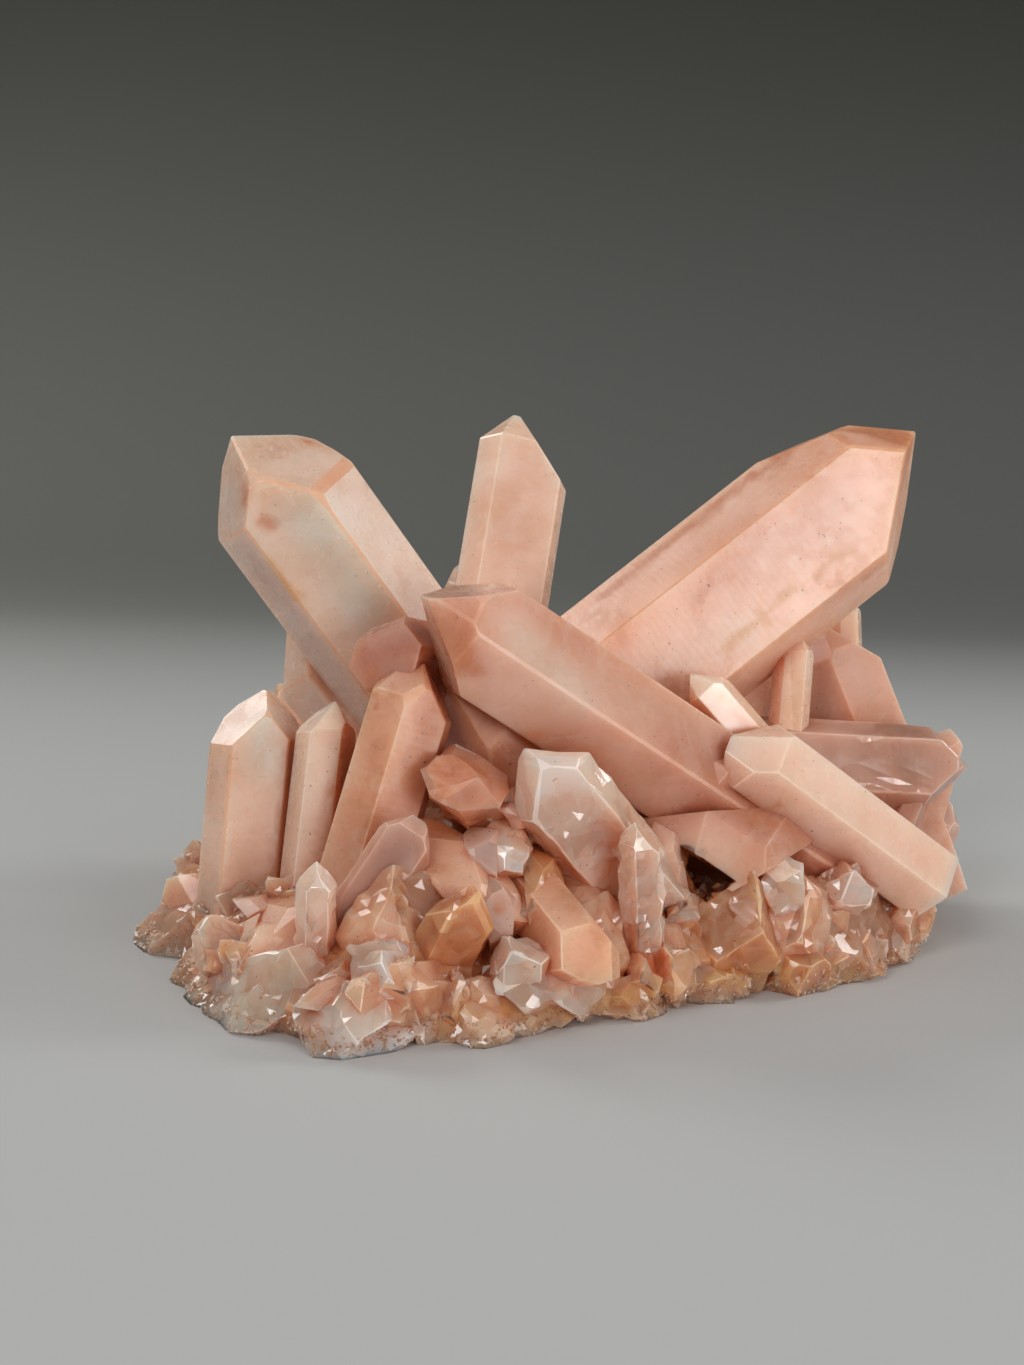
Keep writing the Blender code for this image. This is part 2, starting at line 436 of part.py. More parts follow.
def crust_grains(draw):
    """Small points and blunt lumps on the mound, leaning outward at the rim and upward near the crown."""
    grains = []
    for number in range(GRAIN_COUNT):
        climb = draw.random() ** GRAIN_CROWDING
        place, outward = place_on_mound((number + draw.random()) / GRAIN_COUNT, climb)
        rise = math.radians(RIM_RISE + CROWN_LIFT * climb + draw.uniform(-RISE_SPREAD, RISE_SPREAD))
        swing = math.radians(draw.uniform(-GRAIN_SWING, GRAIN_SWING))
        sideways = Vector((-outward.y, outward.x, 0.0))
        heading = (outward * math.cos(swing) + sideways * math.sin(swing)) * math.cos(rise)
        heading.z = math.sin(rise)
        width = draw.uniform(*GRAIN_WIDTHS)
        stands = draw.uniform(*GRAIN_STANDS)
        drops = three_faced_tip(draw)
        root = place - heading * (width + GRAIN_ROOT)
        tip = place + heading * stands
        grains.append(Point("grain", root, tip, width, roll=draw.uniform(0.0, 60.0),
          flat=draw.uniform(*GRAIN_FLATS),
                            drops=drops))
    return grains


def stubby_points(draw):
    """The stubby points, each with its own turn and flatness, uneven tip faces and one broken face."""
    stubs = []
    for name, root, tip, width in SHARDS:
        drops = three_faced_tip(draw)
        cut = (draw.uniform(-180.0, 180.0), draw.uniform(*STUB_CUT_TILTS), draw.uniform(*STUB_CUT_DROPS))
        stubs.append(Point(name, root, tip, width, roll=draw.uniform(-STUB_ROLL, STUB_ROLL),
                           flat=draw.uniform(*STUB_FLATS), drops=drops, cuts=(cut,)))
    return stubs


def object_from(bm, name, collection):
    bmesh.ops.recalc_face_normals(bm, faces=bm.faces)
    mesh = bpy.data.meshes.new(name)
    bm.to_mesh(mesh)
    bm.free()
    made = bpy.data.objects.new(name, mesh)
    collection.objects.link(made)
    return made


def fuse(body, others, operation):
    """The body joined with, or cut by, every object of a collection, as a new mesh."""
    step = body.modifiers.new(operation, "BOOLEAN")
    step.operation = operation
    step.operand_type = "COLLECTION"
    step.collection = others
    step.solver = "EXACT"
    bpy.context.view_layer.update()
    evaluated = body.evaluated_get(bpy.context.evaluated_depsgraph_get())
    fused = bpy.data.meshes.new_from_object(evaluated)
    body.modifiers.clear()
    body.data = fused
    for used in list(others.objects):
        bpy.data.objects.remove(used)


def shells(bm):
    """The connected skins of a mesh, each as a list of faces."""
    waiting = set(bm.faces)
    found = []
    while waiting:
        front = [waiting.pop()]
        skin = []
        while front:
            face = front.pop()
            skin.append(face)
            for edge in face.edges:
                for neighbour in edge.link_faces:
                    if neighbour in waiting:
                        waiting.remove(neighbour)
                        front.append(neighbour)
        found.append(skin)
    return found


def keep_outer_skin(mesh):
    """Fills sealed pockets between crossing points, joins corners that fall together, and sets triangles."""
    bm = bmesh.new()
    bm.from_mesh(mesh)
    skins = sorted(shells(bm), key=len, reverse=True)
    for skin in skins[1:]:
        bmesh.ops.delete(bm, geom=skin, context="FACES")
    bmesh.ops.remove_doubles(bm, verts=bm.verts, dist=SAME_PLACE)
    bmesh.ops.dissolve_degenerate(bm, edges=bm.edges, dist=SAME_PLACE)
    bmesh.ops.triangulate(bm, faces=bm.faces)
    bm.to_mesh(mesh)
    bm.free()


def quartz_material():
    material = bpy.data.materials.new("hematoid_quartz")
    material.use_nodes = True
    shader = material.node_tree.nodes["Principled BSDF"]
    shader.inputs["Base Color"].default_value = (0.68, 0.38, 0.26, 1.0)
    shader.inputs["Roughness"].default_value = 0.22
    shader.inputs["Metallic"].default_value = 0.0
    return material


def settle(mesh):
    """Puts the origin at the centre of the underside's box and turns millimetres to metres."""
    places = [vertex.co for vertex in mesh.vertices]
    middle_x = (min(place.x for place in places) + max(place.x for place in places)) / 2.0
    middle_y = (min(place.y for place in places) + max(place.y for place in places)) / 2.0
    for vertex in mesh.vertices:
        vertex.co = (vertex.co - Vector((middle_x, middle_y, 0.0))) * MM


def main():
    for old in list(bpy.data.objects):
        bpy.data.objects.remove(old)
    scene_collection = bpy.context.scene.collection
    growths = bpy.data.collections.new("growths")
    scene_collection.children.link(growths)
    draw = random.Random(CRUST_SEED)
    piece_draw = random.Random(PIECE_SEED)

    cluster = object_from(build_mound(draw), "cluster", scene_collection)
    for point in MAIN_POINTS:
        object_from(cleave_point(point), point.name, growths)
    for piece in BROKEN_PIECES:
        object_from(carve_piece(piece, piece_draw), piece.name, growths)
    for point in stubby_points(draw) + crust_grains(draw):
        object_from(cleave_point(point), point.name, growths)
    fuse(cluster, growths, "UNION")

    foot = block_around(Vector((0.0, 0.0, -FOOT_HALF)), FOOT_HALF)
    object_from(foot, "foot", growths)
    for hollow in HOLLOWS:
        object_from(carve_piece(hollow, piece_draw), hollow.name, growths)
    fuse(cluster, growths, "DIFFERENCE")

    keep_outer_skin(cluster.data)
    settle(cluster.data)
    cluster.data.materials.clear()
    cluster.data.materials.append(quartz_material())
    bpy.data.collections.remove(growths)


main()
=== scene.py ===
import json
import math
import random

import bmesh
import bpy
import numpy as np
from mathutils import Matrix, Vector, noise
from mathutils.bvhtree import BVHTree

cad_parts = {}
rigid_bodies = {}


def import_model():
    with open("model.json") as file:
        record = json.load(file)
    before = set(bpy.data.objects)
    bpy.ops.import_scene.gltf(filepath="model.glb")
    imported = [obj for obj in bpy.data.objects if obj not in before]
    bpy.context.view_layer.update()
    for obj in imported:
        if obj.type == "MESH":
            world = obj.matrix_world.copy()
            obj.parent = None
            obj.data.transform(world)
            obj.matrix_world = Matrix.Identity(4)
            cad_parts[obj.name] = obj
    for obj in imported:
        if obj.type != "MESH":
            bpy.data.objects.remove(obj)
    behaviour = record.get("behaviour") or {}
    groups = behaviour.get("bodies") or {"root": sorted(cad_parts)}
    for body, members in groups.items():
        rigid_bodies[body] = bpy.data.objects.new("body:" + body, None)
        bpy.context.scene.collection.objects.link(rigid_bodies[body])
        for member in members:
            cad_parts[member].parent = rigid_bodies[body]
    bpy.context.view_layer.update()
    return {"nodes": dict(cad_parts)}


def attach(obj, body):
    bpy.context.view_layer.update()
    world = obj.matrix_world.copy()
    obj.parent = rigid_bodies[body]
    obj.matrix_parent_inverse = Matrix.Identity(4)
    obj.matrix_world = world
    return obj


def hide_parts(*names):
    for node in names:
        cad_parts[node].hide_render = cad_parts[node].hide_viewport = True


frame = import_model()
mm = 0.001  # places and sizes below are millimetres in the layout of the points, turned to metres at the end


# Quartz: six prism faces, and six tip faces whose normals lie 51.8 degrees from the long axis
tipFaceAngle = math.radians(51.8)
tipSlope = math.tan(tipFaceAngle)
acrossCorners = 2.0 / math.cos(math.radians(30.0))

crust = {
    "height": 15.0,            # top of the mound over the underside
    "centre": (-2.0, -4.0),
    "depthBelow": 3.0,         # how far the rock reaches under the flat cut before it is cut
    "grainWidths": (3.0, 6.6),
    "grainStands": (1.0, 3.4),
    "grainCount": 120,
    "seed": 11,
    "outline": [               # on the underside, counter-clockwise from above, from the far left
        (-40, 3), (-38, -10), (-34, -20), (-27, -29), (-20, -35), (-11, -31), (-5, -26), (1, -22), (9, -21),
        (17, -15), (25, -11), (31, -2), (34, 9), (35, 20), (28, 25), (16, 25), (2, 24), (-12, 26), (-25, 23),
        (-35, 14),
    ],
    "rings": [                 # share of the outline, share of the height
        (0.93, -0.2), (0.96, 0.08), (0.98, 0.24), (0.84, 0.44), (0.66, 0.66), (0.42, 0.88), (0.18, 1.0),
    ],
}

wear = {
    "edgeShare": 0.02,         # width of the worn edge as a share of the crystal's width
    "edgeLeast": 0.07,
    "edgeMost": 0.24,
    "unevenness": (0.55, 1.5),  # how much the worn edges differ
    "sharpest": 0.4,           # a broken piece's edge that bends less stays as it is, in radians
    "skipped": 0.55,            # share of a broken piece's edges that stay sharp
    "nickChance": 0.22,        # of a corner being chipped
    "nickDepths": (0.1, 0.34),
    "seed": 5,
}

# Colours are linear. foot and tip are the quartz from root to tip, edge is what it turns to near its edges and rim
# the thin line on them: a rust stain on milk, blush, rust and cracked, and a painted highlight on the other finishes,
# where it is paler than the edge. clear is the share of see-through quartz, stain the iron in it, variety how much its
# faces differ, rough how broken its surface is in millimetres
finishes = {
    "milk": {"foot": (0.80, 0.58, 0.46), "tip": (0.80, 0.68, 0.59), "edge": (0.80, 0.53, 0.39),
             "rim": (0.72, 0.33, 0.16), "rimShare": 0.6, "clear": 0.30, "stain": 0.35, "satin": 0.30,
             "variety": 0.05, "rough": 0.0},
    "blush": {"foot": (0.84, 0.54, 0.40), "tip": (0.82, 0.52, 0.39), "edge": (0.80, 0.44, 0.29),
              "rim": (0.72, 0.32, 0.16), "rimShare": 0.5, "clear": 0.2, "stain": 0.6, "satin": 0.32,
              "variety": 0.04, "rough": 0.0},
    "rose": {"foot": (0.60, 0.32, 0.22), "tip": (0.78, 0.52, 0.40), "edge": (0.72, 0.40, 0.29),
             "rim": (0.76, 0.46, 0.34), "rimShare": 0.4, "clear": 0.22, "stain": 0.5, "satin": 0.26,
             "variety": 0.08, "rough": 0.0},
    "cream": {"foot": (0.80, 0.53, 0.40), "tip": (0.88, 0.66, 0.53), "edge": (0.84, 0.58, 0.45),
              "rim": (0.90, 0.66, 0.50), "rimShare": 0.5, "clear": 0.20, "stain": 0.2, "satin": 0.26,
              "variety": 0.06, "rough": 0.0},
    "peach": {"foot": (0.70, 0.38, 0.24), "tip": (0.84, 0.52, 0.37), "edge": (0.82, 0.48, 0.33),
              "rim": (0.88, 0.58, 0.42), "rimShare": 0.4, "clear": 0.24, "stain": 0.8, "satin": 0.28,
              "variety": 0.08, "rough": 0.0},
    "smoky": {"foot": (0.48, 0.27, 0.20), "tip": (0.52, 0.34, 0.28), "edge": (0.66, 0.42, 0.34),
              "rim": (0.86, 0.66, 0.56), "rimShare": 0.2, "clear": 0.34, "stain": 0.45, "satin": 0.16,
              "variety": 0.12, "rough": 0.06},
    "clear": {"foot": (0.80, 0.55, 0.44), "tip": (0.90, 0.74, 0.66), "edge": (0.84, 0.64, 0.54),
              "rim": (0.96, 0.84, 0.76), "rimShare": 0.15, "clear": 0.42, "stain": 0.3, "satin": 0.15,
              "variety": 0.14, "rough": 0.45},
    "rust": {"foot": (0.58, 0.28, 0.19), "tip": (0.46, 0.19, 0.13), "edge": (0.62, 0.34, 0.26),
             "rim": (0.50, 0.20, 0.11), "rimShare": 0.6, "clear": 0.12, "stain": 1.0, "satin": 0.28,
             "variety": 0.10, "rough": 0.0},
    "cracked": {"foot": (0.56, 0.26, 0.16), "tip": (0.60, 0.30, 0.20), "edge": (0.66, 0.36, 0.26),
                "rim": (0.50, 0.20, 0.11), "rimShare": 0.1, "clear": 0.26, "stain": 1.4, "satin": 0.18,
                "variety": 0.16, "rough": 0.6},
    "amber": {"foot": (0.50, 0.20, 0.09), "tip": (0.56, 0.27, 0.14), "edge": (0.70, 0.38, 0.20),
              "rim": (0.92, 0.62, 0.36), "rimShare": 0.15, "clear": 0.34, "stain": 1.0, "satin": 0.15,
              "variety": 0.16, "rough": 0.5},
    "druse": {"foot": (0.60, 0.29, 0.15), "tip": (0.72, 0.42, 0.28), "edge": (0.76, 0.46, 0.31),
              "rim": (0.92, 0.74, 0.60), "rimShare": 0.12, "clear": 0.36, "stain": 0.5, "satin": 0.19,
              "variety": 0.18, "rough": 0.65},
    "crust": {"foot": (0.58, 0.27, 0.12), "tip": (0.70, 0.38, 0.22), "edge": (0.70, 0.38, 0.22),
              "rim": (0.80, 0.50, 0.32), "rimShare": 0.1, "clear": 0.22, "stain": 0.8, "satin": 0.25,
              "variety": 0.10, "rough": 0.8},
}


pieces = {
    "spread": 1.22,            # how far neighbours grow into one another
    "backShare": 0.95,         # size of a broken piece's hidden back to its front
    "breakTilts": (14.0, 48.0),  # of its broken faces, near the middle of the front and at its edge
    "breakPlaces": (0.1, 0.85),
    "breakSwing": 40.0,
    "breakDepth": 0.5,
    "seed": 17,
}


class Growth:
    # roll turns the prism about its axis, flat moves its front and back faces in, drops says how far down each of
    # the six tip faces reaches (0 leaves a face out), and cuts are broken faces: turn, tilt and drop below the tip
    def __init__(self, name, root, tip, width, finish="druse", roll=0.0, flat=1.0,
                 drops=(1.0, 0.8, 1.0, 0.8, 1.0, 0.8), cuts=()):
        self.name = name
        self.root = Vector(root)
        self.tip = Vector(tip)
        self.width = width
        self.finish = finish
        self.roll = roll
        self.flat = flat
        self.drops = drops
        self.cuts = cuts


mainGrowths = [
    Growth("left giant", (-9.5, 3.0, 12.5), (-33.7, -2.0, 45.4), 14.2, "milk",
           drops=(0.5, 0.95, 0.6, 1.0, 0.6, 0.84)),
    Growth("right giant", (-6.9, -1.0, 16.8), (29.6, 6.0, 46.6), 16.8, "blush", flat=0.84,
           drops=(0.1, 1.14, 0.7, 0.9, 0.8, 0.8), cuts=((-90, 75, 13.9),)),
    Growth("middle diagonal", (22.6, -5.0, 7.2), (-16.0, -17.0, 32.6), 11.6, "rose", roll=-22,
           drops=(0.62, 0.5, 0.9, 0.42, 0.9, 1.0)),
    Growth("back upright", (-11.6, 6.0, 16.0), (-7.4, 19.0, 47.9), 9.8, "cream", roll=14, flat=0.65,
           drops=(0.9, 1.2, 0.9, 1.0, 0.6, 0.6)),
    Growth("under left giant", (-11.0, 6.0, 5.0), (-30.0, 6.0, 28.4), 10.5, "milk", roll=18,
           drops=(0.6, 0.8, 1.0, 0.7, 1.0, 0.9)),
    Growth("front pink", (-22.0, -17.6, 4.0), (-15.8, -14.0, 27.0), 7.8, "peach", roll=22,
           drops=(0.5, 1.0, 0.8, 1.0, 0.6, 0.72)),
    Growth("blocky tip", (-9.0, 1.0, 23.6), (-19.2, -14.0, 27.4), 7.6, "rust", roll=8,
           drops=(0.0, 0.0, 0.3, 0.0, 0.0, 0.25), cuts=((0, 4, 0.0),)),
    Growth("under the diagonal", (12.0, -5.0, 4.0), (-14.6, -11.0, 24.4), 12.0, "peach", roll=10,
           drops=(0.8, 0.5, 0.9, 0.8, 0.7, 1.0)),
    Growth("left tooth", (-31.5, -12.0, 2.0), (-30.4, -8.0, 24.3), 8.4, "milk", roll=12, flat=0.85,
           drops=(0.5, 1.1, 0.7, 1.0, 0.8, 1.3)),
    Growth("left slim", (-25.6, -16.0, 3.0), (-24.2, -11.0, 22.6), 5.2, "cream", roll=4,
           drops=(0.5, 0.5, 0.8, 1.0, 0.7, 0.9)),
    Growth("small upright", (17.0, -1.0, 12.0), (17.9, 2.0, 28.9), 3.8, "cream",
           drops=(0.9, 0.8, 1.0, 0.7, 0.9, 0.8)),
    Growth("back right", (33.0, 8.0, 2.0), (21.6, 13.0, 29.0), 10.4, "rose", roll=24,
           drops=(0.6, 1.0, 0.8, 1.0, 0.7, 0.7)),
    Growth("back right thin", (26.0, 12.0, 8.0), (25.2, 18.0, 31.2), 3.6, "cream", roll=8),
    Growth("smoky", (9.0, -1.0, 17.2), (34.2, 4.0, 15.8), 8.6, "smoky", roll=-16, flat=0.8,
           drops=(0.3, 0.8, 0.8, 0.8, 0.3, 0.6)),
    Growth("right end", (30.0, 5.0, 3.0), (34.9, 11.0, 19.4), 4.4, "rose", roll=20,
           drops=(0.8, 0.9, 0.8, 1.0, 0.9, 1.5)),
    Growth("right end low", (30.0, 8.0, 0.0), (35.2, 10.5, 12.0), 5.0, "smoky", roll=-10),
    Growth("tan rod", (20.0, -7.5, 12.0), (7.6, -8.6, 25.4), 4.8, "cream", roll=14,
           drops=(0.3, 0.5, 0.8, 0.6, 0.8, 0.3)),
    Growth("pale prism", (29.6, -6.0, 7.4), (10.8, -13.2, 21.0), 7.8, "cream", roll=-26,
           drops=(0.35, 0.7, 0.8, 0.8, 0.9, 0.3)),
    Growth("rounded tip", (16.0, -10.0, 12.0), (9.0, -13.5, 18.8), 3.6, "peach", roll=10,
           drops=(0.3, 0.4, 0.5, 0.5, 0.5, 0.3)),
    Growth("clear slab", (7.0, -15.5, 3.5), (-7.2, -22.0, 20.8), 8.0, "clear", roll=4, flat=0.7,
           drops=(0.2, 0.6, 0.8, 0.8, 0.7, 0.9)),
    Growth("glossy white", (3.4, -20.0, 0.0), (2.0, -24.5, 15.8), 3.8, "clear", roll=16,
           drops=(0.5, 0.9, 0.8, 0.8, 0.6, 0.5)),
    Growth("amber blade", (-15.0, -25.5, 1.0), (-10.4, -29.8, 12.2), 5.8, "amber", roll=20, flat=0.7,
           drops=(0.4, 1.0, 1.4, 0.8, 1.3, 0.5)),
    Growth("front wedge", (-8.0, -18.0, 10.0), (-0.8, -30.8, 4.6), 6.2, "peach", roll=12,
           drops=(0.5, 0.9, 1.0, 0.4, 0.8, 1.2)),
    Growth("big wedge", (9.2, -14.0, -1.0), (12.6, -19.4, 10.8), 9.4, "amber", roll=24, flat=0.8,
           drops=(0.7, 1.2, 0.9, 0.5, 1.0, 1.3)),
    Growth("wedge beside", (15.0, -11.0, 0.0), (17.6, -17.2, 8.4), 6.4, "druse", roll=8,
           drops=(0.8, 1.3, 0.5, 0.6, 0.9, 1.1)),
    Growth("mauve slab", (-22.5, -25.6, 4.0), (-15.8, -23.8, 14.8), 5.2, "smoky", roll=-12, flat=0.6,
           drops=(0.1, 0.3, 0.6, 0.8, 0.5, 0.3)),
    Growth("oval clear", (-23.4, -26.4, 2.0), (-23.2, -28.2, 12.6), 3.4, "clear", roll=10,
           drops=(0.6, 0.8, 0.8, 0.8, 0.8, 0.8)),
    Growth("chunk point", (-18.6, -28.0, 2.0), (-17.2, -34.8, 6.6), 4.0, "clear", roll=14,
           drops=(0.9, 0.6, 1.2, 0.5, 0.9, 1.2)),
    Growth("low left point", (-29.0, -19.0, 1.0), (-33.0, -25.6, 6.0), 5.2, "druse", roll=20,
           drops=(0.8, 1.1, 0.6, 0.9, 1.2, 0.5)),
    Growth("centre point", (-6.0, -24.0, 1.0), (-7.8, -31.6, 7.6), 5.0, "clear", roll=6,
           drops=(0.9, 0.5, 1.2, 0.8, 1.1, 0.7)),
    Growth("low right point", (6.0, -17.0, 0.0), (5.2, -25.0, 4.8), 4.6, "druse", roll=26,
           drops=(0.7, 1.2, 0.9, 0.6, 1.1, 0.8)),
    Growth("heap point", (20.0, -7.0, 2.0), (21.6, -13.8, 10.6), 5.4, "clear", roll=16,
           drops=(0.9, 0.6, 1.2, 0.7, 1.1, 0.9)),
    Growth("left end point", (-33.0, -6.0, 1.0), (-38.6, -9.0, 6.6), 5.4, "peach", roll=18,
           drops=(0.9, 0.6, 1.1, 0.8, 0.5, 1.2)),
    Growth("right foot point", (14.0, -12.0, -1.0), (18.6, -18.6, 3.4), 5.6, "amber", roll=4,
           drops=(0.8, 1.2, 0.6, 0.9, 1.1, 0.6)),
    Growth("far heap point", (26.0, -4.0, 1.0), (29.4, -8.4, 6.4), 4.8, "druse", roll=-10,
           drops=(0.8, 1.2, 0.6, 0.8, 1.0, 0.6)),
    Growth("rear leaning", (-2.0, 8.0, 10.0), (-14.0, 27.0, 33.0), 9.0, "milk", roll=10),
    Growth("rear right", (10.0, 8.0, 8.0), (19.0, 25.0, 26.0), 7.6, "blush", roll=-14,
           drops=(0.9, 0.5, 1.0, 0.8, 0.9, 0.6)),
    Growth("rear left", (-20.0, 8.0, 5.0), (-33.0, 20.0, 20.0), 6.6, "peach", roll=22,
           drops=(0.7, 1.0, 0.6, 1.0, 0.7, 1.0)),
    Growth("rear low", (2.0, 10.0, 6.0), (4.0, 28.0, 17.0), 6.2, "cream", roll=5),
    Growth("rear small", (-10.0, 12.0, 6.0), (-20.0, 26.0, 15.0), 4.8, "rose", roll=15),
    Growth("rear end", (24.0, 12.0, 4.0), (33.0, 23.0, 14.0), 5.2, "clear", roll=-8),
]

class Fragment:  # a broken piece: the corners of its front face, and the middle of its smaller back inside the cluster
    def __init__(self, name, finish, back, *corners, breaks=5):
        self.name = name
        self.finish = finish
        self.corners = [Vector(corner) for corner in corners]
        self.breaks = breaks
        self.root = Vector(back)
        self.tip = max(self.corners, key=lambda corner: (corner - self.root).length)
        self.width = min((self.tip - self.root).length, 5.0)


